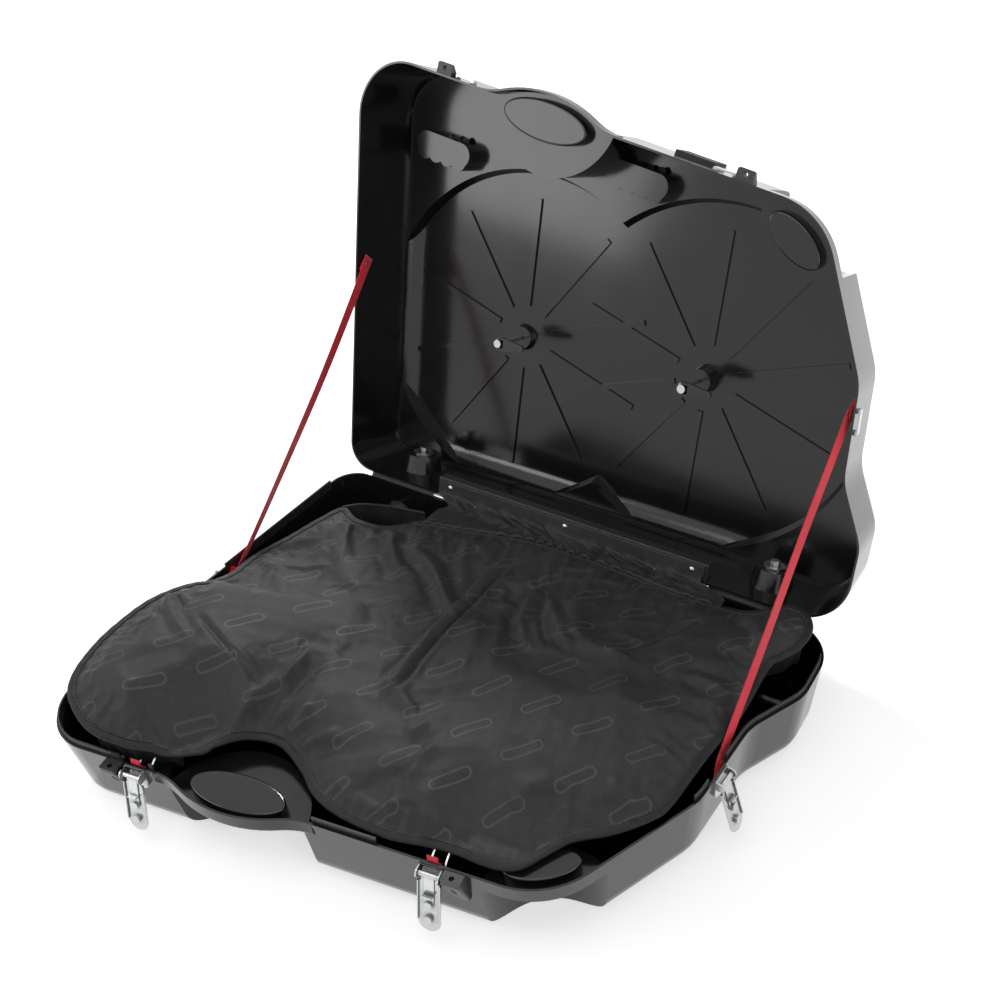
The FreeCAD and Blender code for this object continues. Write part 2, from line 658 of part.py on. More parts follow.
def latch_lever():
    """Channel-shaped lever hanging from its barrel, with a hooked centre strip and two pegs."""
    inside = LATCH_WIDTH / 2 - EAR_THICK - SEAT_GAP
    half = inside + EAR_THICK
    neck = EAR_SIZE + 2 * WALL
    back = -LEVER_BACK
    front = back + LEVER_THICK
    lever = block(-inside + WALL, inside - WALL, back, front, -neck - WALL, 0)
    lever = lever.fuse(block(-half, half, back, front, -LEVER_LENGTH + half, -neck))
    lever = lever.fuse(rod(half, V(0, back, -LEVER_LENGTH + half), V(0, front, -LEVER_LENGTH + half)))
    for way in (-1, 1):
        x0, x1 = sorted((way * (half - LEVER_THICK), way * half))
        lever = lever.fuse(block(x0, x1, back, back + LEVER_FLANGE, -LEVER_LENGTH + half, -neck))
    lever = lever.fuse(rod(BARREL_RADIUS, V(-inside, 0, 0), V(inside, 0, 0)))
    strip = HOOK_WIDTH / 2
    lever = lever.fuse(block(-strip, strip, back, front + LEVER_THICK, -PEGS_DOWN[0], -BARREL_RADIUS))
    lever = lever.fuse(block(-strip, strip, back, HOOK_LIP, -HOOK_REACH - HOOK_THICK, -HOOK_REACH))
    for down in PEGS_DOWN:
        lever = lever.fuse(rod(PEG_RADIUS, V(0, back, -down), V(0, front + PEG_HEIGHT, -down)))
    return lever.cut(rod(LATCH_PIN_RADIUS + RUN_FIT, V(-half, 0, 0), V(half, 0, 0)))


def latch_grip():
    """Rounded grip pad on the back of the lever."""
    width = LATCH_WIDTH - 2 * WALL
    pad = stadium(PAD_LENGTH, width, 0, PAD_THICK)
    rim = [edge for edge in pad.Edges if abs(edge.CenterOfMass.z - PAD_THICK) < PAD_THICK / 4]
    pad = pad.makeFillet(PAD_THICK / 2, rim)
    pad.rotate(V(0, 0, 0), V(0, 1, 0), 90)
    pad.rotate(V(0, 0, 0), V(0, 0, 1), -90)
    pad.translate(V(0, -LEVER_BACK, -LEVER_LENGTH + PAD_LENGTH / 2 + WALL / 2))
    return pad


def lever_pose(shape, frame):
    """Hangs a lever piece on its pin, tilted outwards as it rests."""
    hung = shape.copy()
    hung.rotate(V(0, 0, 0), V(1, 0, 0), LEVER_TILT)
    hung.translate(pivot())
    return placed(hung, frame)


def keeper(tub_body, frame):
    """Raised bar on two feet that the hook catches behind."""
    far = HOOK_REACH - PIVOT_DOWN - RIM_GAP - LATCH_PLAY
    near = far - KEEPER_WIDTH
    half = KEEPER_LENGTH / 2
    bar = block(-half, half, KEEPER_RISE, KEEPER_RISE + KEEPER_BAR, near, far)
    corners = [edge for edge in bar.Edges if abs(edge.CenterOfMass.x) > half - WALL / 8
               and abs(edge.CenterOfMass.z - (near + far) / 2) < WALL / 8
               and edge.CenterOfMass.y > KEEPER_RISE + KEEPER_BAR / 2]
    bar = bar.makeFillet(0.8 * KEEPER_BAR, corners)
    for way in (-1, 1):
        x0, x1 = sorted((way * (half - 2 * WALL), way * half))
        bar = bar.fuse(block(x0, x1, -PIVOT_OUT, KEEPER_RISE, near, far))
    return placed(bar.removeSplitter(), frame).cut(tub_body)


# Padlock lugs

def lug(height, way, tub_body, frame):
    """Solid lug: flat flange at the rim, long slope back to the wall, hole for a shackle."""
    start = WALL / 4
    half = LUG_WIDTH / 2
    profile = [V(-half, -LUG_OUT, way * start), V(-half, LUG_OUT, way * start), V(-half, LUG_OUT, way * LUG_TOP),
               V(-half, 0, way * height), V(-half, -LUG_OUT, way * height)]
    body = slab(profile, V(LUG_WIDTH, 0, 0))
    rounds = [edge for edge in body.Edges if edge.CenterOfMass.y > WALL / 4
              and abs(edge.CenterOfMass.z) > start + WALL / 8]
    body = body.makeFillet(min(LUG_ROUND, LUG_TOP / 2), rounds)
    hole = Part.makeCylinder(LUG_HOLE_RADIUS, 2 * height, V(0, LUG_OUT / 2 + LUG_HOLE_RADIUS / 4, -height))
    return placed(body.cut(hole), frame).cut(tub_body)


# Casters

def caster_fork():
    """Stem, disc and two cheeks; origin on the well's ceiling, Z out of the well."""
    radius, thick = FORK_DISC
    inside = CASTER_WHEEL_WIDTH / 2 + CHEEK_GAP
    stem_end = WALL + STEM_WASHER[1] + STEM_NUT[1] + SEAT_GAP
    fork = Part.makeCylinder(radius, thick, V(0, 0, SEAT_GAP))
    fork = fork.fuse(Part.makeCylinder(STEM_RADIUS, stem_end + SEAT_GAP + thick / 2, V(0, 0, -stem_end)))
    for way in (-1, 1):
        y0, y1 = sorted((way * inside, way * (inside + FORK_CHEEK)))
        eye = 2 * CASTER_AXLE_RADIUS + FORK_CHEEK
        points = [V(-radius / 2, y0, thick / 2), V(radius * 0.6, y0, thick / 2),
                  V(CASTER_TRAIL + eye, y0, CASTER_DROP), V(CASTER_TRAIL - eye, y0, CASTER_DROP)]
        cheek = slab(points, V(0, y1 - y0, 0))
        cheek = cheek.fuse(rod(eye, V(CASTER_TRAIL, y0, CASTER_DROP), V(CASTER_TRAIL, y1, CASTER_DROP)))
        fork = fork.fuse(cheek)
    reach = inside + FORK_CHEEK
    axle = rod(CASTER_AXLE_RADIUS, V(CASTER_TRAIL, -reach, CASTER_DROP), V(CASTER_TRAIL, reach, CASTER_DROP))
    fork = fork.fuse(axle)
    return fork


def caster_wheel():
    """Wheel with a crowned tread and a dished hub on its axle."""
    half = CASTER_WHEEL_WIDTH / 2
    rim = CASTER_WHEEL_RADIUS - half / 3
    hub = CASTER_AXLE_RADIUS + 2 * FORK_CHEEK
    bore = CASTER_AXLE_RADIUS + RUN_FIT
    dish = half - FORK_CHEEK
    points = [V(bore, 0, -half), V(hub, 0, -half), V(hub + dish / 3, 0, -dish), V(rim - dish / 3, 0, -dish),
              V(rim - dish / 4, 0, -half + FORK_CHEEK / 2), V(rim, 0, -half + FORK_CHEEK / 2)]
    mirrored = [V(p.x, 0, -p.z) for p in reversed(points)]
    edges = [Part.makeLine(a, b) for a, b in zip(points, points[1:])]
    edges.append(Part.Arc(points[-1], V(CASTER_WHEEL_RADIUS, 0, 0), mirrored[0]).toShape())
    edges += [Part.makeLine(a, b) for a, b in zip(mirrored, mirrored[1:] + points[:1])]
    wheel = Part.Face(Part.Wire(edges)).revolve(V(0, 0, 0), UP, 360)
    wheel.rotate(V(0, 0, 0), V(1, 0, 0), 90)
    wheel.translate(V(CASTER_TRAIL, 0, CASTER_DROP))
    return wheel


def stem_nut():
    """Washer and hexagon nut on the stem inside the well."""
    washer = Part.makeCylinder(STEM_WASHER[0], STEM_WASHER[1], V(0, 0, -WALL - SEAT_GAP - STEM_WASHER[1]))
    points = [V(STEM_NUT[0] * math.cos(math.radians(60 * k)), STEM_NUT[0] * math.sin(math.radians(60 * k)),
                -WALL - SEAT_GAP - STEM_WASHER[1]) for k in range(6)]
    nut = slab(points, UP * -STEM_NUT[1])
    return washer.fuse(nut).cut(Part.makeCylinder(STEM_RADIUS, 2 * LEAF_HEIGHT, V(0, 0, -2 * LEAF_HEIGHT)))


def caster_frame(x, way):
    """Frame of a caster: Z points out of the hinge side, X away from the rim."""
    y = CORNERS[0][1] - WELL_DEPTH
    matrix = FreeCAD.Matrix(0, way, 0, x, 0, 0, 1, y, way, 0, 0, way * CASTER_DEPTH, 0, 0, 0, 1)
    return FreeCAD.Placement(matrix)


# Straps, cover, loops

def inner_wall_point(edge, distance, depth, draft, off):
    """Point beside an inner wall: off is the distance from the wall's face, depth below its rim."""
    start, along, inward = edge_vectors(edge)
    return start + along * distance + inward * (WALL + depth * math.tan(math.radians(draft)) + off)


def stay_off():
    """Distance of a stay's middle from the inner wall, clear of the tongue strips."""
    return TONGUE_OFF + TONGUE_THICK + STAY_THICK


def stay_ends(edge, on_base, on_lid):
    """Anchor points of a stay: base, lid in its open position."""
    off = stay_off()
    low = inner_wall_point(edge, on_base, STAY_DEPTH, BASE_DRAFT, off) + UP * (RIM_Z - STAY_DEPTH)
    high = inner_wall_point(edge, on_lid, STAY_DEPTH, LID_DRAFT, off) + UP * (LID_Z + STAY_DEPTH)
    return low, lid_pose(Part.Vertex(high)).Point


def stay_axes(low, high, edge):
    """Direction, thickness direction (inwards) and width direction of a stay."""
    along = (high - low).normalize()
    inward = edge_vectors(edge)[2]
    thick = (inward - along * inward.dot(along)).normalize()
    return along, thick, along.cross(thick)


def stay_strap(edge, on_base, on_lid):
    """Flat webbing pulled straight between its two rivets."""
    low, high = stay_ends(edge, on_base, on_lid)
    along, thick, wide = stay_axes(low, high, edge)
    first, last = low - along * STAY_END, high + along * STAY_END
    half = wide * (STAY_WIDTH / 2)
    corners = [first - half, last - half, last + half, first + half]
    strap = slab([p - thick * (STAY_THICK / 2) for p in corners], thick * STAY_THICK)
    return strap.cut([rod(RIVET_SHANK, p - thick * LUG_OUT, p + thick * LUG_OUT) for p in (low, high)])


def stay_rivet(point, thick):
    """Rivet from the wall through a stay, head inside."""
    shank = rod(RIVET_SHANK, point - thick * (stay_off() - SEAT_GAP), point + thick * (STAY_THICK / 2))
    return shank.fuse(dome_head(point + thick * (STAY_THICK / 2), thick))


def spread(squared):
    """Thin-plate weight of a control point at a squared distance."""
    return squared * math.log(squared) if squared > 0 else 0.0


def solve(rows):
    """Unknowns of square linear equations, whose right sides end the rows."""
    size = len(rows)
    for k in range(size):
        best = max(range(k, size), key=lambda index: abs(rows[index][k]))
        rows[k], rows[best] = rows[best], rows[k]
        for row in rows[k + 1:]:
            share = row[k] / rows[k][k]
            for column in range(k, size + 1):
                row[column] -= share * rows[k][column]
    found = [0.0] * size
    for k in reversed(range(size)):
        rest = sum(rows[k][column] * found[column] for column in range(k + 1, size))
        found[k] = (rows[k][size] - rest) / rows[k][k]
    return found


def cover_heights():
    """Function of x and y for the cover's top, the smoothest plate through the hem and the rises."""
    points = COVER_HEM + COVER_RISES
    rows = []
    for x, y, h in points:
        rows.append([spread((ax - x) ** 2 + (ay - y) ** 2) for ax, ay, _ in points] + [1.0, x, y, h])
    rows.append([1.0] * len(points) + [0.0] * 4)
    rows.append([float(x) for x, _, _ in points] + [0.0] * 4)
    rows.append([float(y) for _, y, _ in points] + [0.0] * 4)
    weights = solve(rows)

    def height(x, y):
        near = sum(w * spread((x - ax) ** 2 + (y - ay) ** 2) for w, (ax, ay, _) in zip(weights, points))
        return near + weights[-3] + weights[-2] * x + weights[-1] * y
    return height


def cover_top():
    """Crowned top of the cover as one smooth face, wider than the hem."""
    height = cover_heights()
    xs = [x for x, _, _ in COVER_HEM]
    ys = [y for _, y, _ in COVER_HEM]
    columns, lines = COVER_GRID
    grid = []
    for i in range(columns):
        x = min(xs) - WALL + i * (max(xs) - min(xs) + 2 * WALL) / (columns - 1)
        places = [min(ys) - WALL + j * (max(ys) - min(ys) + 2 * WALL) / (lines - 1) for j in range(lines)]
        grid.append([V(x, y, height(x, y)) for y in places])
    face = Part.BSplineSurface()
    face.interpolate(grid)
    return face.toShape()


def padded_cover():
    """Padded cover: a thick sheet under its crowned top, cut to the hem and back from the hinge rail."""
    sheet = cover_top().extrude(V(0, 0, -COVER_THICK))
    hem = Part.BSplineCurve()
    hem.interpolate([V(x, y, 0) for x, y, _ in COVER_HEM], PeriodicFlag=True)
    span = 2 * BASE_DEPTH
    prism = Part.Face(Part.Wire(hem.toShape())).extrude(V(0, 0, 2 * span))
    prism.translate(V(0, 0, -span))
    side = RAIL_LENGTH / 2 + COVER_THICK
    cuts = [block(-side, side, CORNERS[0][1] - COVER_BACK, 2 * CORNERS[0][1], -span, span)]
    for frame, out, radius, _, _ in hand_grips():
        over = Part.makeCylinder(radius + 2 * WALL, span, V(0, out, SHELF_DEPTH - 2 * WALL))
        cuts.append(placed(over, frame))
    cover = sheet.common(prism.cut(cuts))
    under = cover_top().extrude(V(0, 0, -span))
    tabs = [placed(cover_tab(), wall_frame(edge, distance)).common(under) for _, edge, distance in LATCHES[:2]]
    return cover.multiFuse(tabs)


def cover_tab():
    """Column of the webbing tab that holds the cover on a snap hook's round end."""
    slope = math.radians(HOOK_SLOPE)
    y = loop_wall() - LOOP_THICK - LOOP_BEND / 2 - HOOK_RING[0] * math.cos(slope)
    low = HOOK_RING[0] * math.sin(slope) + HOOK_WIRE + SEAT_GAP - LOOP_DOWN
    return block(-LOOP_WIDTH / 2, LOOP_WIDTH / 2, y - LOOP_BEND / 2, y + LOOP_BEND / 2, low, BASE_DEPTH)


def loop_wall():
    """Y of the base's inner wall at the foot of a loop, in the latch frame."""
    return -WALL - (LOOP_DOWN + LOOP_BEND + LOOP_THICK) * math.tan(math.radians(BASE_DRAFT))


def cover_loop(inner_body, frame):
    """Webbing loop on the inner front wall: strip on the wall, turned up again round the snap hook."""
    half = LOOP_WIDTH / 2
    back = loop_wall() - LOOP_THICK
    middle = V(0, back - LOOP_BEND / 2, -LOOP_DOWN)
    front = back - LOOP_BEND
    side = V(half, 0, 0)
    strip = block(-half, half, back, 0, middle.z, -WALL)
    bend = rod(LOOP_BEND / 2 + LOOP_THICK, middle - side, middle + side)
    bend = bend.common(block(-half, half, 3 * front, 0, 2 * middle.z, middle.z))
    lip = block(-half, half, front - LOOP_THICK, front, middle.z, middle.z + LOOP_DOWN / 3)
    loop = strip.multiFuse([bend, lip]).cut(rod(LOOP_BEND / 2, middle - side, middle + side))
    return placed(loop, frame).common(inner_body)


def snap_hook(frame):
    """Wire ring with a round end, its bar lying in the loop's bend and its legs outside the loop."""
    length, width = HOOK_RING
    ring = Part.makeTorus(width / 2, HOOK_WIRE, V(0, -length + width / 2, 0), UP)
    ring = ring.common(block(-width, width, -2 * length, -length + width / 2, -width, width))
    for way in (-1, 1):
        foot = V(way * width / 2, 0, 0)
        ring = ring.fuse(rod(HOOK_WIRE, V(foot.x, -length + width / 2, 0), foot))
        ring = ring.fuse(Part.makeSphere(HOOK_WIRE, foot))
    ring = ring.fuse(rod(HOOK_WIRE, V(-width / 2, 0, 0), V(width / 2, 0, 0)))
    ring.rotate(V(0, 0, 0), V(1, 0, 0), -HOOK_SLOPE)
    ring.translate(V(0, loop_wall() - LOOP_THICK - LOOP_BEND / 2, -LOOP_DOWN))
    return placed(ring, frame)


def carry_plate(place):
    """Plate outside the lid: its hinge-side edge overhangs the finger pocket."""
    length, width, thick = PLATE_SIZE
    top = LID_DEPTH - RECESS_STEP
    plate = block(-length / 2, length / 2, -width, 0, top, top + thick)
    uprights = [edge for edge in plate.Edges if abs(edge.CenterOfMass.z - top - thick / 2) < thick / 8]
    plate = plate.makeFillet(2 * thick, uprights)
    rim = [edge for edge in plate.Edges if edge.CenterOfMass.z > top + thick * 0.9]
    plate = plate.makeFillet(thick / 2.5, rim)
    plate.translate(V(0, -CARRY_WIDTH / 2 + PLATE_OVERHANG, 0))
    return placed(plate, carry_frame(place))


def carry_screws(place):
    """Two screw heads on a carry plate."""
    radius, height = SCREW_HEAD
    top = LID_DEPTH - RECESS_STEP + PLATE_SIZE[2]
    line = -CARRY_WIDTH / 2 + PLATE_OVERHANG - PLATE_SIZE[1] + 2 * PLATE_SIZE[2]
    heads = []
    for way in (-1, 1):
        head = Part.makeCone(radius, radius * 0.6, height, V(way * SCREW_SPACING / 2, line, top))
        heads.append(placed(head, carry_frame(place)))
    return heads


def stand_pad(tub_body):
    """Rubber pad with ribs across, seated on the drafted front wall of the lid."""
    length, height, thick = STAND_PAD_SIZE
    pitch = height / STAND_PAD_RIBS
    pad = block(-length / 2, length / 2, -2 * thick, thick, STAND_PAD_DEPTH, STAND_PAD_DEPTH + height)
    grooves = []
    for index in range(1, STAND_PAD_RIBS):
        middle = STAND_PAD_DEPTH + index * pitch
        grooves.append(block(-length, length, thick - STAND_PAD_GROOVE, 2 * thick,
                             middle - STAND_PAD_GROOVE / 2, middle + STAND_PAD_GROOVE / 2))
    frame = wall_frame(FRONT_EDGE, STAND_PAD_AT)
    tilt = FreeCAD.Placement(V(0, 0, 0), FreeCAD.Rotation(V(1, 0, 0), LID_DRAFT))
    return placed(placed(pad.cut(grooves), tilt), frame).cut(tub_body)


# Skewers

def skewer(hub, top):
    """Rod through the hub boss: cap outside the lid, flange and cam head inside."""
    x, y = hub
    head_radius, head_length = SKEWER_HEAD
    neck = top + head_length
    low = neck - head_length / 2
    pieces = [Part.makeCylinder(SKEWER_RADIUS, LID_DEPTH - low, V(x, y, low)),
              Part.makeCylinder(SKEWER_CAP[0], SKEWER_CAP[1], V(x, y, LID_DEPTH)),
              Part.makeCylinder(SKEWER_FLANGE[0], SKEWER_FLANGE[1], V(x, y, neck)),
              Part.makeCylinder(head_radius, head_length, V(x, y, top)),
              rod(CAM_PIN_RADIUS, cam_axis(hub, top) - V(0, cam_half(), 0),
                  cam_axis(hub, top) + V(0, cam_half(), 0))]
    return pieces[0].multiFuse(pieces[1:])


def cam_axis(hub, top):
    """Centre of the cam pin in a skewer's head."""
    return V(hub[0], hub[1], top + SKEWER_HEAD[1] / 2)


def cam_half():
    """Half length of the cam pin."""
    return SKEWER_HEAD[0] + CAM_LEVER_THICK


def cam_lever(hub, top):
    """Forked lever: an eye on each side of the head, joined by a tapered arm along +X."""
    axis = cam_axis(hub, top)
    inside = SKEWER_HEAD[0] + SEAT_GAP
    outside = inside + CAM_LEVER_THICK - 2 * SEAT_GAP
    eye = CAM_LEVER_WIDTH / 2
    start = SKEWER_HEAD[0] + 2 * SEAT_GAP + eye / 3
    arm_low = -CAM_LEVER_THICK / 2
    outline_points = [V(start, -outside, arm_low), V(CAM_LEVER_LENGTH - eye, -eye, arm_low),
                      V(CAM_LEVER_LENGTH - eye, eye, arm_low), V(start, outside, arm_low)]
    lever = slab(outline_points, UP * CAM_LEVER_THICK)
    lever = lever.fuse(Part.makeCylinder(eye, CAM_LEVER_THICK, V(CAM_LEVER_LENGTH - eye, 0, arm_low)))
    for way in (-1, 1):
        y0, y1 = sorted((way * inside, way * outside))
        lever = lever.fuse(rod(2 * CAM_PIN_RADIUS, V(0, y0, 0), V(0, y1, 0)))
        lever = lever.fuse(block(0, start + eye / 2, y0, y1, arm_low, -arm_low))
    lever = lever.cut(rod(CAM_PIN_RADIUS + RUN_FIT, V(0, -2 * outside, 0), V(0, 2 * outside, 0)))
    lever = lever.cut(Part.makeCylinder(inside, 4 * CAM_LEVER_THICK, V(0, 0, -2 * CAM_LEVER_THICK)))
    lever.translate(axis)
    return lever


def main():
    """Builds every node and writes it."""
    os.makedirs("parts", exist_ok=True)
    to_base = FreeCAD.Placement(V(0, 0, RIM_Z), FreeCAD.Rotation())
    to_lid = FreeCAD.Placement(V(0, 0, LID_Z), FreeCAD.Rotation())

    def base_node(name, shape):
        put(name, placed(shape, to_base))

    def lid_node(name, shape):
        put(name, lid_pose(placed(shape, to_lid)))

    base_outer, base_inner = base_solids()
    lid_outer, lid_inner = lid_solids()
    base_node("base_shell", base_shell(base_outer, base_inner))
    lid_node("lid_shell", lid_shell(lid_outer, lid_inner))
    base_node("rim_tongue", tongue())

    base_node("base_hinge_leaf", hinge_leaf(0, -1, base_outer))
    lid_node("lid_hinge_leaf", hinge_leaf(1, 1, lid_outer))
    put("hinge_pin", hinge_pin())
    lid_node("hinge_rail", hinge_rail())
    lid_node("dust_flap", dust_flap())

    for name, edge, distance in LATCHES:
        frame = wall_frame(edge, distance)
        base_node("latch_plate_" + name, latch_plate(base_outer, frame))
        base_node("latch_lever_" + name, lever_pose(latch_lever(), frame))
        base_node("latch_grip_" + name, lever_pose(latch_grip(), frame))
        lid_node("keeper_" + name, keeper(lid_outer, frame))
    for name, latch, step in LUGS:
        frame = wall_frame(LATCHES[latch][1], LATCHES[latch][2] + step)
        base_node("base_lug_" + name, lug(BASE_LUG_HEIGHT, -1, base_outer, frame))
        lid_node("lid_lug_" + name, lug(LID_LUG_HEIGHT, 1, lid_outer, frame))

    for x, side in zip(CASTERS_X, ("left", "right")):
        for shell, way, node in (("base", -1, base_node), ("lid", 1, lid_node)):
            frame = caster_frame(x, way)
            node("%s_caster_fork_%s" % (shell, side), placed(caster_fork(), frame))
            node("%s_caster_wheel_%s" % (shell, side), placed(caster_wheel(), frame))
            node("%s_caster_nut_%s" % (shell, side), placed(stem_nut(), frame))

    base_rivets = []
    lid_rivets = [lid_pose(placed(rivet, to_lid)) for rivet in flap_rivets()]
    for name, edge, on_base, on_lid in STAYS:
        put("stay_strap_" + name, stay_strap(edge, on_base, on_lid))
        low, high = stay_ends(edge, on_base, on_lid)
        thick = stay_axes(low, high, edge)[1]
        base_rivets.append(stay_rivet(low, thick))
        lid_rivets.append(stay_rivet(high, thick))
    put("base_rivets", Part.makeCompound(base_rivets))
    put("lid_rivets", Part.makeCompound(lid_rivets))

    base_node("padded_cover", padded_cover())
    for name, edge, distance in LATCHES[:2]:
        frame = wall_frame(edge, distance)
        base_node("cover_loop_" + name, cover_loop(base_inner, frame))
        base_node("snap_hook_" + name, snap_hook(frame))

    screws = []
    for place, side in zip(CARRY_GRIPS, ("left", "right")):
        lid_node("carry_plate_" + side, carry_plate(place))
        screws += carry_screws(place)
    lid_node("carry_screws", Part.makeCompound(screws))
    lid_node("stand_pad", stand_pad(lid_outer))

    for hub, top, side in zip(HUBS, SKEWER_TOPS, ("left", "right")):
        lid_node("skewer_" + side, skewer(hub, top))
        lid_node("cam_lever_" + side, cam_lever(hub, top))


main()
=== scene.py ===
"""Looks of the hard bike travel case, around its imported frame: metres, +Z up, +Y to the hinge."""
import json
import math

import bmesh
import bpy
import numpy as np
from mathutils import Matrix, Vector
from mathutils.geometry import delaunay_2d_cdt


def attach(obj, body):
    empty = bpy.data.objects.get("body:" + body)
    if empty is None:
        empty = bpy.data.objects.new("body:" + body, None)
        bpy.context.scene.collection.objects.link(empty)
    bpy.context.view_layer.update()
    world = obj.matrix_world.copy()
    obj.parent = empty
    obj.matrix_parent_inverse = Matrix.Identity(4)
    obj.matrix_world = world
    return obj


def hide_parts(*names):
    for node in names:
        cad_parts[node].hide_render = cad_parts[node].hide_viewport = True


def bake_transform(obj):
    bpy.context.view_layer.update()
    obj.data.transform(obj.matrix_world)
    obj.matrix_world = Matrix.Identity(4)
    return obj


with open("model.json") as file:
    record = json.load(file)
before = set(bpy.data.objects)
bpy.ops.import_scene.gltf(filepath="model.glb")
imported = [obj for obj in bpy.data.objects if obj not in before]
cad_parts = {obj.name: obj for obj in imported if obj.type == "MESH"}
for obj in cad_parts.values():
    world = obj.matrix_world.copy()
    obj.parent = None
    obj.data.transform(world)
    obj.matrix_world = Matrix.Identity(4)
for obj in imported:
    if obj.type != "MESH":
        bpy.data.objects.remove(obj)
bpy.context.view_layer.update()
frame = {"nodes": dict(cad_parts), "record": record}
NODES = frame["nodes"]
SCENE = bpy.context.scene
SCENE.view_settings.view_transform = "Standard"

# Frame values
RIM_Z = 0.180
RIM_MM = RIM_Z * 1000
HINGE = Vector((0.0, 0.440, 0.1805))
LID_OPEN = math.radians(109.6)

# Camera of the photograph
CAMERA_AT = (0.960, -1.046, 1.677)
CAMERA_YAW = math.radians(32.57)
CAMERA_PITCH = math.radians(39.42)
CAMERA_ROLL = math.radians(3.54)
CAMERA_FOCAL = 1.0921
CAMERA_SHIFT = (-0.066, 0.02325)
SENSOR = 36.0


def lid_open(p):
    """A point of the closed lid, in its open place."""
    y, z = p[1] - HINGE.y, p[2] - HINGE.z
    c, s = math.cos(LID_OPEN), math.sin(LID_OPEN)
    return Vector((p[0], HINGE.y + y * c + z * s, HINGE.z - y * s + z * c))


# Node materials
def add(tree, kind, inputs=None, **settings):
    """A new shader node with its settings, and its inputs as values or as sockets to link."""
    n = tree.nodes.new("ShaderNode" + kind)
    for k, v in settings.items():
        setattr(n, k, v)
    for k, v in (inputs or {}).items():
        if isinstance(v, bpy.types.NodeSocket):
            tree.links.new(v, n.inputs[k])
        else:
            n.inputs[k].default_value = v
    return n


def new_material(name, **sockets):
    """A new material with its shader's inputs set, and its node tree and shader."""
    m = bpy.data.materials.new(name)
    m.use_nodes = True
    shader = m.node_tree.nodes["Principled BSDF"]
    for k, v in sockets.items():
        shader.inputs[k.replace("_", " ")].default_value = v
    return m, m.node_tree, shader


def coordinates(tree):
    return add(tree, "TexCoord").outputs["Object"]


def noise(tree, vector, scale, detail=3.0, rough=0.5):
    inputs = {"Vector": vector, "Scale": scale, "Detail": detail, "Roughness": rough}
    return add(tree, "TexNoise", inputs).outputs["Fac"]


def stretched(tree, vector, scale, turn):
    inputs = {"Vector": vector, "Scale": scale, "Rotation": turn}
    return add(tree, "Mapping", inputs).outputs[0]


def math_node(tree, operation, a, b=0.0):
    return add(tree, "Math", {0: a, 1: b}, operation=operation).outputs[0]


def remap(tree, value, low, high, to_low=0.0, to_high=1.0):
    inputs = {"Value": value, "From Min": low, "From Max": high, "To Min": to_low, "To Max": to_high}
    return add(tree, "MapRange", inputs).outputs["Result"]


def mix_colour(tree, factor, a, b):
    """Mix of two colours; a Mix node has them at its inputs 6 and 7."""
    return add(tree, "Mix", {0: factor, 6: a, 7: b}, data_type="RGBA").outputs[2]


def grey(v, tint=0.0):
    return (v * (1 - tint), v, v * (1 + tint), 1.0)


def shade_of(colour, level):
    return tuple(min(1.0, c * level) for c in colour) + (1.0,)


def bump(tree, shader, layers):
    """Bump from layers of (height socket, distance in metres, strength)."""
    normal = None
    for height, distance, strength in layers:
        n = add(tree, "Bump", {"Height": height, "Distance": distance, "Strength": strength})
        if normal is not None:
            tree.links.new(normal, n.inputs["Normal"])
        normal = n.outputs["Normal"]
    tree.links.new(normal, shader.inputs["Normal"])


def paint(tree, shader, colour, rough):
    tree.links.new(colour, shader.inputs["Base Color"])
    tree.links.new(rough, shader.inputs["Roughness"])


def edge_mask(tree, vector, sharp=0.53, scale=70.0):
    """Broken mask along convex edges, for wear."""
    point = add(tree, "NewGeometry").outputs["Pointiness"]
    edge = remap(tree, point, sharp, sharp + 0.06)
    broken = remap(tree, noise(tree, vector, scale, 4.0), 0.42, 0.66)
    return math_node(tree, "MULTIPLY", edge, broken)


def worn(tree, wear, share, base, bare):
    """A colour with a share of a paler or duller one where it is worn."""
    return mix_colour(tree, math_node(tree, "MULTIPLY", wear, share), base, bare)


def shell_material():
    """Glossy moulded plastic: clouded, faintly scratched, with a fine orange peel."""
    m, t, s = new_material("shell_abs", Metallic=0.0, IOR=1.52)
    co = coordinates(t)
    cloud = noise(t, co, 5.0, 4.0)
    scuff = stretched(t, co, (30.0, 210.0, 60.0), (0.3, 0.5, 0.7))
    scratch = remap(t, noise(t, scuff, 1.0, 6.0, 0.65), 0.66, 0.74)
    wear = edge_mask(t, co)
    clouded = remap(t, cloud, 0.35, 0.65)
    base = mix_colour(t, clouded, grey(0.0070, 0.02), grey(0.0105, 0.02))
    rough = remap(t, cloud, 0.3, 0.7, 0.13, 0.18)
    rough = math_node(t, "ADD", rough, math_node(t, "MULTIPLY", scratch, 0.01))
    rough = math_node(t, "ADD", rough, math_node(t, "MULTIPLY", wear, 0.012))
    paint(t, s, worn(t, wear, 0.12, base, grey(0.045)), rough)
    bump(t, s, [(noise(t, co, 420.0, 2.0), 0.00006, 0.2), (noise(t, co, 22.0, 2.0), 0.0004, 0.16),
                (scratch, 0.00003, 0.1)])
    return m


def trim_material(name, level, rough):
    """Satin moulded plastic with a fine spark-eroded grain."""
    m, t, s = new_material(name, Metallic=0.0, IOR=1.5)
    co = coordinates(t)
    grain = noise(t, co, 900.0, 3.0)
    cloud = noise(t, co, 14.0, 4.0)
    wear = edge_mask(t, co, 0.54, 160.0)
    base = mix_colour(t, cloud, grey(level * 0.8), grey(level * 1.25))
    base = worn(t, wear, 0.4, base, grey(level * 4))
    paint(t, s, base, remap(t, cloud, 0.3, 0.7, rough - 0.05, rough + 0.06))
    bump(t, s, [(grain, 0.0002, 0.35)])
    return m


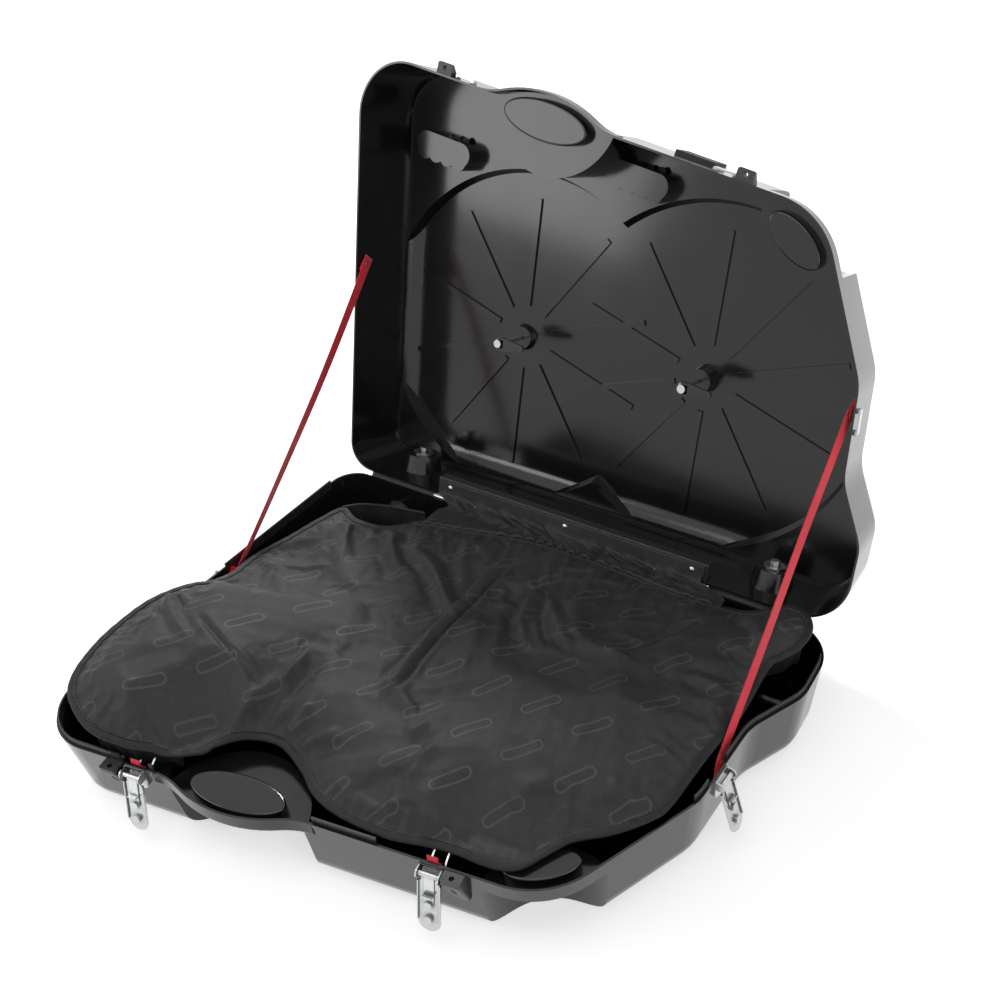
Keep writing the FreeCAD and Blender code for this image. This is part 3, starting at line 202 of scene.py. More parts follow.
def metal_material(name, level, rough, tint=0.012, brushed=0.2):
    """Plated metal: smudges, fine draw lines, dulled edges, and painted shade that darkens its crevices."""
    m, t, s = new_material(name, Metallic=1.0)
    co = coordinates(t)
    draw = noise(t, stretched(t, co, (60.0, 60.0, 900.0), (0.0, 0.12, 0.0)), 1.0, 3.0)
    smudge = noise(t, co, 55.0, 5.0, 0.6)
    wear = edge_mask(t, co, 0.55, 220.0)
    base = mix_colour(t, smudge, grey(level * 0.9, tint), grey(level, tint))
    base = worn(t, wear, 0.3, base, grey(level * 0.6))
    # Painted shade: ambient occlusion darkens the base colour towards dark grey in crevices and hollows.
    openness_for_painted_shade = add(t, "AmbientOcclusion", {"Distance": 0.010}, samples=4).outputs["AO"]
    base = mix_colour(t, remap(t, openness_for_painted_shade, 0.35, 0.95), grey(0.05), base)
    smudged = remap(t, smudge, 0.35, 0.7, rough * 0.7, rough * 1.7)
    paint(t, s, base, math_node(t, "ADD", smudged, math_node(t, "MULTIPLY", wear, 0.1)))
    bump(t, s, [(draw, 0.00006, brushed), (noise(t, co, 140.0, 2.0), 0.0001, 0.15)])
    return m


def rubber_material(name, level, rough):
    """Matte rubber with dust in its grain."""
    m, t, s = new_material(name, Metallic=0.0, IOR=1.47, Sheen_Weight=0.15, Sheen_Roughness=0.6)
    co = coordinates(t)
    dust = noise(t, co, 38.0, 5.0, 0.6)
    base = mix_colour(t, remap(t, dust, 0.4, 0.7), grey(level), grey(level * 1.7))
    paint(t, s, base, remap(t, dust, 0.3, 0.7, rough - 0.06, rough + 0.1))
    bump(t, s, [(noise(t, co, 1400.0, 3.0), 0.00015, 0.4)])
    return m


# Patterns in metres: printed bars with their turn, rows, steps, half length, radius, line and soft edge,
# pitch of the weave, and lanes, slant, picks and ribs of the webbing
PRINT_TURN = math.radians(-52.0)
PRINT_ROW, PRINT_STEP = 0.078, 0.126
PRINT_HALF, PRINT_ROUND, PRINT_LINE = 0.027, 0.0085, 0.0022
PRINT_EDGE = 0.0008
WEAVE_PITCH = 0.0016
WEB_LANE, WEB_SLANT = 0.0062, 0.0052
WEB_PICK, WEB_RIB = 0.0021, 0.0031


def wave(tree, value, pitch):
    """Sine of a length with the given pitch in metres."""
    return math_node(tree, "SINE", math_node(tree, "MULTIPLY", value, 2 * math.pi / pitch))


def off_middle(tree, place):
    """Share of a repeating cell from its middle, for a place counted in cells."""
    return math_node(tree, "SUBTRACT", math_node(tree, "FRACT", place), 0.5)


def pills(tree, vector):
    """Mask of a plain staggered pattern of rounded bars, tone on tone."""
    turned = add(tree, "Mapping", {"Vector": vector, "Rotation": (0.0, 0.0, PRINT_TURN)}).outputs[0]
    at = add(tree, "SeparateXYZ", {0: turned}).outputs
    row = math_node(tree, "DIVIDE", at[1], PRINT_ROW)
    shift = math_node(tree, "MULTIPLY", math_node(tree, "FLOOR", row), 0.5)
    step = math_node(tree, "ADD", math_node(tree, "DIVIDE", at[0], PRINT_STEP), shift)
    x = math_node(tree, "MULTIPLY", off_middle(tree, step), PRINT_STEP)
    y = math_node(tree, "MULTIPLY", off_middle(tree, row), PRINT_ROW)
    over = math_node(tree, "SUBTRACT", math_node(tree, "ABSOLUTE", x), PRINT_HALF)
    over = math_node(tree, "MAXIMUM", over, 0.0)
    far = math_node(tree, "SQRT", math_node(tree, "ADD", math_node(tree, "MULTIPLY", over, over),
                                            math_node(tree, "MULTIPLY", y, y)))
    edge = math_node(tree, "ABSOLUTE", math_node(tree, "SUBTRACT", far, PRINT_ROUND))
    return remap(tree, edge, PRINT_LINE, PRINT_LINE - PRINT_EDGE)


def fabric_material(name, level, printed=False):
    """Coated nylon: plain weave, slack wrinkles and a little dust."""
    m, t, s = new_material(name, Metallic=0.0, IOR=1.5, Specular_IOR_Level=0.22, Sheen_Weight=0.04,
                           Sheen_Roughness=0.4)
    co = coordinates(t)
    at = add(t, "SeparateXYZ", {0: co}).outputs
    weave = math_node(t, "MULTIPLY", wave(t, math_node(t, "ADD", at[0], at[2]), WEAVE_PITCH),
                      wave(t, math_node(t, "SUBTRACT", at[1], at[2]), WEAVE_PITCH))
    cloud = noise(t, co, 7.0, 4.0)
    dust = remap(t, noise(t, co, 60.0, 6.0, 0.65), 0.52, 0.74)
    clouded = remap(t, cloud, 0.35, 0.65)
    base = mix_colour(t, clouded, grey(level * 0.85, 0.02), grey(level * 1.2, 0.02))
    rough = remap(t, cloud, 0.3, 0.7, 0.46, 0.56)
    if printed:
        mask = pills(t, co)
        base = mix_colour(t, mask, base, grey(level * 2.0))
        rough = math_node(t, "SUBTRACT", rough, math_node(t, "MULTIPLY", mask, 0.10))
    paint(t, s, worn(t, dust, 0.22, base, grey(level * 3.2)), rough)
    bump(t, s, [(weave, 0.00025, 0.35), (noise(t, co, 48.0, 4.0, 0.6), 0.0022, 0.32),
                (noise(t, co, 17.0, 3.0), 0.006, 0.22)])
    return m


def webbing_material(name, colour):
    """Woven webbing from its UV: herringbone picks and ribs, a little faded."""
    m, t, s = new_material(name, Metallic=0.0, IOR=1.5, Sheen_Weight=0.35, Sheen_Roughness=0.4)
    at = add(t, "SeparateXYZ", {0: add(t, "UVMap").outputs[0]}).outputs
    lane = math_node(t, "ABSOLUTE", off_middle(t, math_node(t, "DIVIDE", at[0], WEB_LANE)))
    slant = math_node(t, "ADD", at[1], math_node(t, "MULTIPLY", lane, WEB_SLANT))
    pick = wave(t, slant, WEB_PICK)
    rib = wave(t, at[0], WEB_RIB)
    lines = math_node(t, "ADD", math_node(t, "MULTIPLY", pick, 0.7), math_node(t, "MULTIPLY", rib, 0.4))
    fade = noise(t, coordinates(t), 30.0, 4.0)
    raised = remap(t, lines, -1.0, 0.5)
    base = mix_colour(t, raised, shade_of(colour, 0.84), shade_of(colour, 1.0))
    base = mix_colour(t, remap(t, fade, 0.45, 0.7, 0.0, 0.6), base, shade_of(colour, 1.08))
    paint(t, s, base, remap(t, fade, 0.3, 0.7, 0.50, 0.62))
    bump(t, s, [(lines, 0.0005, 0.6)])
    return m


def thread_material(name, colour):
    """Twisted sewing thread."""
    m, t, s = new_material(name, Metallic=0.0, IOR=1.5, Sheen_Weight=0.3, Roughness=0.5)
    twist = noise(t, coordinates(t), 1300.0, 2.0)
    base = mix_colour(t, twist, shade_of(colour, 0.7), shade_of(colour, 1.0))
    t.links.new(base, s.inputs["Base Color"])
    bump(t, s, [(twist, 0.0002, 0.5)])
    return m


SHELL = shell_material()
TRIM = trim_material("trim_satin", 0.014, 0.42)
CHROME = metal_material("chrome_plate", 0.62, 0.12)
STEEL = metal_material("zinc_steel", 0.50, 0.26, 0.02, 0.4)
# Painted shade: near-black matte plastic, darker than the shell, standing in for the shade inside the finger
# hollows.
PAINTED_HOLLOW_SHADE = trim_material("finger_hollow_painted_shade", 0.003, 0.7)
RUBBER = rubber_material("pad_rubber", 0.022, 0.62)
WHEEL = rubber_material("caster_tyre", 0.045, 0.45)
FABRIC = fabric_material("cover_nylon", 0.028, True)
LINING = fabric_material("lining_nylon", 0.016)
FLAP = fabric_material("flap_nylon", 0.027)
BINDING = fabric_material("hem_tape", 0.014)
THREAD_BLACK = thread_material("hem_thread", (0.045, 0.045, 0.048))
RED = webbing_material("red_webbing", (0.92, 0.011, 0.040))
THREAD = thread_material("red_thread", (0.62, 0.008, 0.03))

SLOT_MATERIALS = {"shell_black": SHELL, "trim_black": TRIM, "chrome": CHROME, "steel": STEEL,
                  "rubber": RUBBER, "caster_wheel": WHEEL}
for row in frame["record"]["subparts"]:
    if row["material_slot"] in SLOT_MATERIALS:
        data = NODES[row["node"]].data
        data.materials.clear()
        data.materials.append(SLOT_MATERIALS[row["material_slot"]])


# Small mesh tools
def mm(*values):
    return tuple(v / 1000 for v in values)


def mesh_piece(name, verts, faces, material, uvs=None):
    """A smooth-shaded mesh object, with one UV per vertex where given."""
    mesh = bpy.data.meshes.new(name)
    points = [tuple(float(c) for c in v) for v in verts]
    mesh.from_pydata(points, [], [tuple(int(i) for i in f) for f in faces])
    mesh.update()
    mesh.polygons.foreach_set("use_smooth", [True] * len(mesh.polygons))
    if uvs is not None:
        layer = mesh.uv_layers.new(name="UVMap")
        index = np.zeros(len(mesh.loops), np.int32)
        mesh.loops.foreach_get("vertex_index", index)
        layer.data.foreach_set("uv", np.asarray(uvs, np.float32)[index].ravel())
    mesh.materials.append(material)
    obj = bpy.data.objects.new(name, mesh)
    SCENE.collection.objects.link(obj)
    return obj


def apply_modifiers(obj):
    """Bakes an object's modifiers into its mesh."""
    graph = bpy.context.evaluated_depsgraph_get()
    mesh = bpy.data.meshes.new_from_object(obj.evaluated_get(graph))
    old = obj.data
    obj.modifiers.clear()
    obj.data = mesh
    bpy.data.meshes.remove(old)
    mesh.polygons.foreach_set("use_smooth", [True] * len(mesh.polygons))


def grid_faces(rows, columns, closed=False):
    """Quads of a grid stored row by row; closed joins the last column to the first."""
    faces = []
    for r in range(rows - 1):
        for c in range(columns if closed else columns - 1):
            n = (c + 1) % columns
            faces.append((r * columns + c, r * columns + n, (r + 1) * columns + n, (r + 1) * columns + c))
    return faces


def capped_faces(rows, columns):
    """Faces of a closed tube stored ring by ring, with both its ends."""
    last = (rows - 1) * columns
    ends = [tuple(reversed(range(columns))), tuple(range(last, last + columns))]
    return grid_faces(rows, columns, True) + ends


def unit(vectors):
    return vectors / np.linalg.norm(vectors, axis=1)[:, None]


def thicken(obj, thickness, levels=0):
    """Gives a sheet its thickness on both sides, and smooths it first where levels are given."""
    if levels:
        sub = obj.modifiers.new("smooth", "SUBSURF")
        sub.levels = sub.render_levels = levels
    solid = obj.modifiers.new("thick", "SOLIDIFY")
    solid.thickness, solid.offset = thickness, 0.0
    apply_modifiers(obj)


def curve_between(a, b, c, d, t):
    """Points of the smooth curve from b to c, with a before and d after them."""
    bend = (2 * a - 5 * b + 4 * c - d) * t ** 2
    return 0.5 * (2 * b + (c - a) * t + bend + (3 * b - a - 3 * c + d) * t ** 3)


def run_length(line):
    """Length along a line up to each of its points."""
    return np.concatenate([[0], np.cumsum(np.linalg.norm(np.diff(line, axis=0), axis=1))])


def smooth_path(points, count):
    """Evenly placed points on the smooth open curve through the given ones."""
    p = np.asarray(points, float)
    p = np.vstack([2 * p[0] - p[1], p, 2 * p[-1] - p[-2]])
    t = np.linspace(0, 1, 16, endpoint=False)[:, None]
    out = [curve_between(a, b, c, d, t) for a, b, c, d in zip(p[:-3], p[1:-2], p[2:-1], p[3:])]
    out = np.vstack(out + [p[-2:-1]])
    far = run_length(out)
    at = np.linspace(0, far[-1], count)
    return np.stack([np.interp(at, far, out[:, k]) for k in range(p.shape[1])], 1)


def closed_spline(points, step):
    """Evenly spaced points on the smooth closed curve through the given ones, and how far along they are."""
    p = np.asarray(points, float)
    a, b, c, d = np.roll(p, 1, 0), p, np.roll(p, -1, 0), np.roll(p, -2, 0)
    t = np.linspace(0, 1, 24, endpoint=False)[:, None, None]
    curve = curve_between(a, b, c, d, t).transpose(1, 0, 2).reshape(-1, p.shape[1])
    loop = np.vstack([curve, curve[:1]])
    far = np.concatenate([[0], np.cumsum(np.hypot(*np.diff(loop[:, :2], axis=0).T))])
    at = np.linspace(0, far[-1], int(far[-1] / step), endpoint=False)
    return np.stack([np.interp(at, far, loop[:, k]) for k in range(p.shape[1])], 1), at


# How far the plate may miss its points, for smoothness
PLATE_SLACK = 400.0


def plate(points):
    """Function for the smoothest plate through points of x, y and height, in millimetres."""
    p = np.asarray(points, float)
    xy, h, n = p[:, :2], p[:, 2], len(p)

    def spread(a, b):
        d = ((a[:, None, :] - b[None, :, :]) ** 2).sum(2)
        return d * np.log(np.maximum(d, 1e-12))
    flat = np.hstack([np.ones((n, 1)), xy])
    system = np.vstack([np.hstack([spread(xy, xy) + PLATE_SLACK * np.eye(n), flat]),
                        np.hstack([flat.T, np.zeros((3, 3))])])
    weights = np.linalg.solve(system, np.concatenate([h, np.zeros(3)]))

    def height(q):
        q = np.asarray(q, float).reshape(-1, 2)
        return spread(q, xy) @ weights[:n] + weights[n] + q @ weights[n + 1:]
    return height


def line_distance(q, line):
    """Distance of points from a polyline, share of its length at the nearest place, and side of it."""
    line = np.asarray(line, float)
    lengths = np.hypot(*np.diff(line, axis=0).T)
    best = np.full(len(q), 1e9)
    share = np.zeros(len(q))
    side = np.ones(len(q))
    gone = 0.0
    for a, b, length in zip(line[:-1], line[1:], lengths):
        d = (b - a) / length
        t = np.clip((q - a) @ d, 0, length)
        off = q - a - t[:, None] * d
        far = np.hypot(*off.T)
        near = far < best
        best[near], share[near] = far[near], ((gone + t) / lengths.sum())[near]
        side[near] = np.sign(d[0] * off[:, 1] - d[1] * off[:, 0])[near]
        gone += length
    return best, share, side


# Padded cover, in millimetres: hem with its height over the rim, and heights between
COVER_HEM = [
    (-293, 333, 16), (-318, 313, 14), (-364, 285, 12), (-431, 282, 10), (-482, 299, 10),
    (-507, 243, 8), (-525, 172, 8), (-546, 83, 12), (-528, -3, 35), (-522, -49, 58),
    (-542, -85, 70), (-573, -159, 76), (-576, -255, 78), (-562, -329, 78), (-538, -383, 74),
    (-502, -412, 66), (-443, -430, 50), (-378, -418, 34), (-336, -400, 26), (-304, -389, 20),
    (-262, -356, 14), (-251, -329, 11), (-212, -288, 9), (-154, -274, 8), (-83, -298, 8),
    (-30, -327, 8), (34, -339, 8), (124, -335, 8), (195, -316, 8), (239, -306, 8), (285, -301, 5),
    (313, -295, 3), (336, -285, 3), (351, -268, 3), (370, -232, 3), (393, -196, 4), (445, -158, 12),
    (488, -106, 14), (503, -63, 14), (513, 53, 14), (527, 152, 16), (529, 272, 22), (545, 302, 30),
    (564, 331, 38), (571, 371, 44), (562, 399, 47), (544, 415, 48), (512, 421, 47), (471, 402, 34),
    (436, 390, 24), (388, 388, 18), (263, 382, 22), (112, 388, 24), (-31, 384, 24), (-177, 354, 22),
]
COVER_RISES = [
    (-427, 192, 20), (-282, 179, 26), (-450, 122, 20), (-216, 263, 26), (-467, 28, 30),
    (-381, 47, 34), (-274, 74, 38), (-429, -60, 72), (-345, -34, 66), (-271, 1, 58), (-184, 46, 48),
    (-433, -332, 88), (-406, -237, 90), (-294, -303, 80), (-355, -370, 58), (-303, -168, 76),
    (-248, -97, 64), (-507, -314, 86), (-109, -124, 52), (-141, -225, 44), (-94, 4, 46),
    (-79, 143, 38), (74, -74, 46), (74, -220, 42), (6, -271, 32), (55, 51, 48), (187, -20, 52),
    (311, -94, 44), (309, 48, 48), (430, 0, 36), (235, -221, 38), (325, -235, 5), (402, -121, 26),
    (458, 139, 36), (473, 279, 40), (317, 223, 42), (113, 241, 40), (143, 347, 32), (374, 319, 36),
    (520, 350, 50), (-224, -272, 20), (179, -284, 24),
]
# Folds of the cover: kind, half width, height, line
COVER_FOLDS = [
    ("step", 16, 11, [(-521, -58), (-441, -49), (-358, -21), (-281, 12), (-195, 59)]),
    ("crease", 9, 8, [(-438, -159), (-328, -197), (-237, -219)]),
    ("ridge", 15, 13, [(-251, -295), (-237, -239), (-210, -194), (-205, -150), (-213, -114)]),
    ("ridge", 9, 7, [(-550, -129), (-498, -171), (-453, -195), (-407, -214)]),
    ("crease", 8, 6, [(-550, -105), (-516, -136), (-468, -159)]),
    ("crease", 9, 9, [(-25, 293), (-26, 148), (-28, 27), (-23, -41), (-13, -148)]),
    ("ridge", 9, 9, [(-44, 298), (-48, 153), (-49, 30), (-40, -45), (-35, -141)]),
    ("ridge", 14, 9, [(-212, 236), (-152, 190), (-89, 138), (-46, 103)]),
    ("ridge", 10, 11, [(68, 252), (68, 204), (90, 146), (122, 105)]),
    ("ridge", 9, 10, [(92, 243), (125, 202), (167, 161), (208, 124)]),
    ("crease", 8, 7, [(84, 240), (100, 190), (132, 150), (170, 112)]),
    ("ridge", 34, 9, [(76, 29), (168, 66), (283, 58), (395, 55), (468, 77)]),
    ("ridge", 11, 8, [(-144, -262), (-131, -239), (-129, -200)]),
    ("ridge", 10, 7, [(-107, -274), (-81, -249), (-55, -225)]),
    ("ridge", 14, 7, [(59, -180), (70, -159), (86, -140)]),
    ("ridge", 16, 8, [(-60, -95), (-2, -108), (40, -140)]),
    ("ridge", 13, 7, [(266, -195), (294, -163), (325, -132)]),
    ("ridge", 10, 5, [(260, -285), (258, -258), (250, -225)]),
    ("ridge", 15, 9, [(431, 372), (471, 339), (515, 300)]),
    ("ridge", 11, 6, [(507, 179), (469, 176), (420, 165)]),
    ("crease", 9, 5, [(502, 6), (462, 19), (418, 16)]),
    ("ridge", 12, 6, [(460, -109), (436, -99), (398, -98)]),
    ("ridge", 14, 7, [(-427, 263), (-385, 194), (-351, 123)]),
    ("ridge", 12, 6, [(-327, 280), (-280, 217), (-223, 158)]),
    ("ridge", 18, 7, [(150, 190), (240, 150), (330, 150)]),
    ("ridge", 12, 6, [(-480, 60), (-420, 90), (-360, 130)]),
    ("crease", 8, 5, [(380, 300), (350, 240), (310, 190)]),
    ("ridge", 12, 6, [(120, -260), (110, -210), (120, -160)]),
]
# Cover: cell of its mesh, padding, thickness at the hem, width in which folds fade out
COVER_CELL = 6.5
COVER_PAD = 13.0
COVER_EDGE = 2.5
COVER_FADE = 45.0
# Padding over the hem's line, and where it starts and how soon it is full
PUFF = 0.6 * COVER_PAD
PUFF_START, PUFF_REACH = 12.0, 16.0
# Pucker along the hem: distance from it, width, height
PUCKER_AT, PUCKER_WIDE, PUCKER_HIGH = 22.0, 14.0, 1.3
# Hem tape and its stitches
HEM_HALF = 8.0
HEM_THICK = 3.8
HEM_SIDES = 16
STITCH_PITCH, STITCH_LONG = 7.5, 4.8
STITCH_SIDES = 6
# Slack cloth of the cover's top: steps, weight, width held at the hem and width in which it comes free,
# extra size, stiffnesses, and furthest move in metres
SLACK_FRAMES, SLACK_QUALITY = 20, 4
SLACK_MASS, SLACK_AIR = 0.3, 2.0
SLACK_HELD = 18.0
SLACK_FREE = 20.0
SLACK_EXTRA = 0.05
SLACK_STRETCH = 14.0
SLACK_SHEAR = 6.0
SLACK_BEND = 0.6
SLACK_CAP = 0.009
# Shallow creases of the cover: length, height, direction
CRUMPLE = [(95, 1.5, 0.4), (70, 1.2, 2.1), (52, 0.9, 3.6), (38, 0.7, 5.1), (120, 1.6, 1.2), (30, 0.45, 0.1)]


def crumple(q):
    """Shallow creases of slack cloth, the same each run."""
    total = np.zeros(len(q))
    for k, (length, height, turn) in enumerate(CRUMPLE):
        bend = 0.9 * np.sin(q[:, 0] / (2.2 * length) + turn)
        bend += 0.9 * np.sin(q[:, 1] / (1.7 * length) + 2 * turn)
        along = q[:, 0] * math.cos(turn) + q[:, 1] * math.sin(turn)
        patch = 0.5 + 0.5 * np.sin(q[:, 0] / 210 + 1.7 * k) * np.sin(q[:, 1] / 170 + 2.3 * k)
        total += height * patch * (1 - 2 * np.abs(np.sin(along / length * math.pi + bend)))
    return total


def folds(q):
    """Larger folds of the cover, fading out at the ends of their lines."""
    total = np.zeros(len(q))
    for kind, width, height, line in COVER_FOLDS:
        far, share, side = line_distance(q, line)
        ends = np.clip(np.minimum(share, 1 - share) / 0.22, 0, 1)
        ends = ends * ends * (3 - 2 * ends) * 0.85 + 0.15 * np.exp(-(far / width) ** 2)
        if kind == "ridge":
            shape = 0.55 * np.exp(-(far / width) ** 2) + 0.5 * np.exp(-1.6 * far / width)
            shape -= 0.38 * np.exp(-((far - 2.1 * width) / width) ** 2)
        elif kind == "crease":
            shape = 0.55 * np.exp(-((far - 1.3 * width) / width) ** 2) - np.exp(-(far / (0.55 * width)) ** 2)
        else:
            shape = -side * np.tanh(far / width) * np.exp(-(far / (4 * width)) ** 2)
        total += height * ends * shape
    return total


COVER_PLATE = plate(COVER_HEM + COVER_RISES)
HEM_LINE, HEM_AT = closed_spline(COVER_HEM, COVER_CELL)
HEM_IN = np.roll(HEM_LINE[:, :2], -1, 0) - np.roll(HEM_LINE[:, :2], 1, 0)
HEM_IN = np.stack([-HEM_IN[:, 1], HEM_IN[:, 0]], 1) / np.hypot(*HEM_IN.T)[:, None]
HEM_NEXT = np.roll(HEM_LINE, -1, 0)
if np.sum(HEM_LINE[:, 0] * HEM_NEXT[:, 1] - HEM_LINE[:, 1] * HEM_NEXT[:, 0]) < 0:
    HEM_IN = -HEM_IN


def hem_distance(q):
    """Distance from the hem and index of the nearest hem point."""
    far = np.empty(len(q))
    near = np.empty(len(q), int)
    for k in range(0, len(q), 2000):
        d = ((q[k:k + 2000, None, :] - HEM_LINE[None, :, :2]) ** 2).sum(2)
        near[k:k + 2000] = d.argmin(1)
        far[k:k + 2000] = np.sqrt(d.min(1))
    return far, near


# Room for what the closed lid brings down on the cover: ends of a line, height over the rim, reach, slope
LID_ROOM = [
    ((121, 75), (247, 75), 54.0, 22.0, 0.32),
    ((-294, -366), (-262, -318), 14.0, 10.0, 0.75),
    ((250, -268), (345, -254), 5.0, 6.0, 0.6),
    ((-433, -304), (-400, -262), 99.0, 24.0, 0.4),
]
# How softly the cover meets those heights
LID_SOFT = 2.5


def under_lid(q, height):
    """Heights over the rim, drawn down softly where the closed lid needs the room."""
    for a, b, top, reach, slope in LID_ROOM:
        a, b = np.array(a, float), np.array(b, float)
        share = np.clip(((q - a) @ (b - a)) / ((b - a) @ (b - a)), 0, 1)
        far = np.linalg.norm(q - a - share[:, None] * (b - a), axis=1)
        limit = top + slope * np.maximum(far - reach, 0)
        height = -LID_SOFT * np.logaddexp(-height / LID_SOFT, -limit / LID_SOFT)
    return height


def cover_height(q, far, near):
    """Top of the cover over the rim, in millimetres."""
    fade = np.clip(far / COVER_FADE, 0, 1)
    fade = fade * fade * (3 - 2 * fade)
    at = HEM_AT[near]
    pucker = np.sin(at / 5.2 + 2.0 * np.sin(at / 61)) * np.exp(-((far - PUCKER_AT) / PUCKER_WIDE) ** 2)
    puff = PUFF * (1 - np.exp(-np.maximum(far - PUFF_START, 0) / PUFF_REACH))
    return under_lid(q, COVER_PLATE(q) + puff + fade * (folds(q) + crumple(q)) + PUCKER_HIGH * pucker)


def inside(q, loop):
    """Which points lie inside a closed line."""
    a, b = loop, np.roll(loop, -1, 0)
    hit = np.zeros(len(q), bool)
    for (ax, ay), (bx, by) in zip(a, b):
        if ay != by:
            cross = (ay > q[:, 1]) != (by > q[:, 1])
            hit ^= cross & (q[:, 0] < (bx - ax) * (q[:, 1] - ay) / (by - ay) + ax)
    return hit


def slack_cloth(verts, faces, far):
    """Moves of the cover's top when its cloth, cut a little large, is let go inside its hem."""
    obj = mesh_piece("slack", verts, faces, FABRIC)
    held = obj.vertex_groups.new(name="held")
    for i in np.flatnonzero(far < SLACK_HELD):
        held.add([int(i)], 1.0, "REPLACE")
    cloth = obj.modifiers.new("cloth", "CLOTH")
    s = cloth.settings
    s.quality = SLACK_QUALITY
    s.mass = SLACK_MASS
    s.tension_stiffness = s.compression_stiffness = SLACK_STRETCH
    s.shear_stiffness = SLACK_SHEAR
    s.bending_stiffness = SLACK_BEND
    s.air_damping = SLACK_AIR
    s.shrink_min = -SLACK_EXTRA
    s.vertex_group_mass = "held"
    s.effector_weights.gravity = 0.0
    cloth.collision_settings.use_collision = False
    cloth.point_cache.frame_start, cloth.point_cache.frame_end = 1, SLACK_FRAMES
    for k in range(1, SLACK_FRAMES + 1):
        SCENE.frame_set(k)
    made = obj.evaluated_get(bpy.context.evaluated_depsgraph_get()).data
    moved = np.zeros(3 * len(made.vertices), np.float32)
    made.vertices.foreach_get("co", moved)
    SCENE.frame_set(1)
    bpy.data.objects.remove(obj)
    move = moved.reshape(-1, 3).astype(float) - verts
    size = np.linalg.norm(move, axis=1)
    cap = SLACK_CAP * np.clip((far - SLACK_HELD) / SLACK_FREE, 0, 1)
    return move * (np.minimum(size, cap) / np.maximum(size, 1e-9))[:, None]


def cover_mesh(material):
    """The padded cover as a closed quilt: crowned folded top, thin hem, flatter underside."""
    low, high = HEM_LINE[:, :2].min(0), HEM_LINE[:, :2].max(0)
    rows = np.arange(low[1], high[1], COVER_CELL * math.sqrt(0.75))
    q = np.array([(x, y) for k, y in enumerate(rows)
                  for x in np.arange(low[0] + (k % 2) * COVER_CELL / 2, high[0], COVER_CELL)])
    q = q[inside(q, HEM_LINE[:, :2])]
    far, _ = hem_distance(q)
    q = np.vstack([HEM_LINE[:, :2], q[far > 0.7 * COVER_CELL]])
    count = len(HEM_LINE)
    edges = [(i, (i + 1) % count) for i in range(count)]
    made = delaunay_2d_cdt([Vector(p) for p in q], edges, [], 1, 1e-4)
    q = np.array([tuple(v) for v in made[0]])
    faces = list(made[2])
    far, near = hem_distance(q)
    top = RIM_MM + cover_height(q, far, near)
    slack = slack_cloth(np.column_stack([q, top]) / 1000, faces, far) * 1000
    q, top = q + slack[:, :2], top + slack[:, 2]
    top = RIM_MM + under_lid(q, top - RIM_MM)
    thick = COVER_EDGE + (COVER_PAD - COVER_EDGE) * (1 - np.exp(-far / 14))
    under = RIM_MM + COVER_PLATE(q) + PUFF - thick
    under = np.minimum(under, top - COVER_EDGE)
    n = len(q)
    verts = np.vstack([np.column_stack([q, top]), np.column_stack([q, under])]) / 1000
    sides = [(a, b, b + n, a + n) for a, b in edges]
    back = [tuple(reversed([i + n for i in f])) for f in faces]
    obj = mesh_piece("cover_quilt", verts, faces + back + sides, material)
    bm = bmesh.new()
    bm.from_mesh(obj.data)
    bmesh.ops.recalc_face_normals(bm, faces=bm.faces)
    bm.to_mesh(obj.data)
    bm.free()
    return obj


def hem_frame(inset):
    """Points on the cover's top at a distance inside the hem, in millimetres."""
    q = HEM_LINE[:, :2] + HEM_IN * inset
    far, near = hem_distance(q)
    return np.column_stack([q, RIM_MM + cover_height(q, far, near)])


def binding(material):
    """Bound edge of the cover: a soft flattened tube over the hem, drawn up a little at its stitches."""
    outer, inner = hem_frame(-1.0), hem_frame(2 * HEM_HALF - 4)
    across = unit(inner - outer)
    along = unit(np.roll(outer, -1, 0) - np.roll(outer, 1, 0))
    up = np.cross(across, along)
    up *= np.sign(up[:, 2])[:, None]
    middle = outer + across * (HEM_HALF - 2.5) - up * 1.0
    swell = 1 + 0.10 * np.sin(HEM_AT / 4.1 + 1.5 * np.sin(HEM_AT / 47)) + 0.06 * np.sin(HEM_AT / 13.7)
    turns = np.linspace(0, 2 * math.pi, HEM_SIDES, endpoint=False)
    rings, uvs = [], []
    for t in turns:
        c, s = math.cos(t), math.sin(t)
        flat = np.sign(c) * abs(c) ** 0.8 * HEM_HALF
        tall = np.sign(s) * abs(s) ** 0.8 * HEM_THICK
        flat = flat * (0.97 + 0.03 * swell)
        rings.append(middle + across * flat[:, None] + up * (tall * swell)[:, None])
        uvs.append(np.column_stack([np.full(len(HEM_AT), t * HEM_HALF / 1000), HEM_AT / 1000]))
    verts = np.stack(rings, 1).reshape(-1, 3) / 1000
    faces = [tuple(i % len(verts) for i in f) for f in grid_faces(len(HEM_AT) + 1, HEM_SIDES, True)]
    return mesh_piece("cover_binding", verts, faces, material, np.stack(uvs, 1).reshape(-1, 2))


def add_stitch(verts, faces, rings, flat, tall):
    """Adds one stitch, a closed spindle through rings of a middle in millimetres and a radius."""
    first = len(verts)
    for p, radius in rings:
        for j in range(STITCH_SIDES):
            a = 2 * math.pi * j / STITCH_SIDES
            verts.append((p + tall * radius * math.sin(a) + flat * radius * math.cos(a)) / 1000)
    faces.extend(tuple(first + i for i in f) for f in capped_faces(len(rings), STITCH_SIDES))


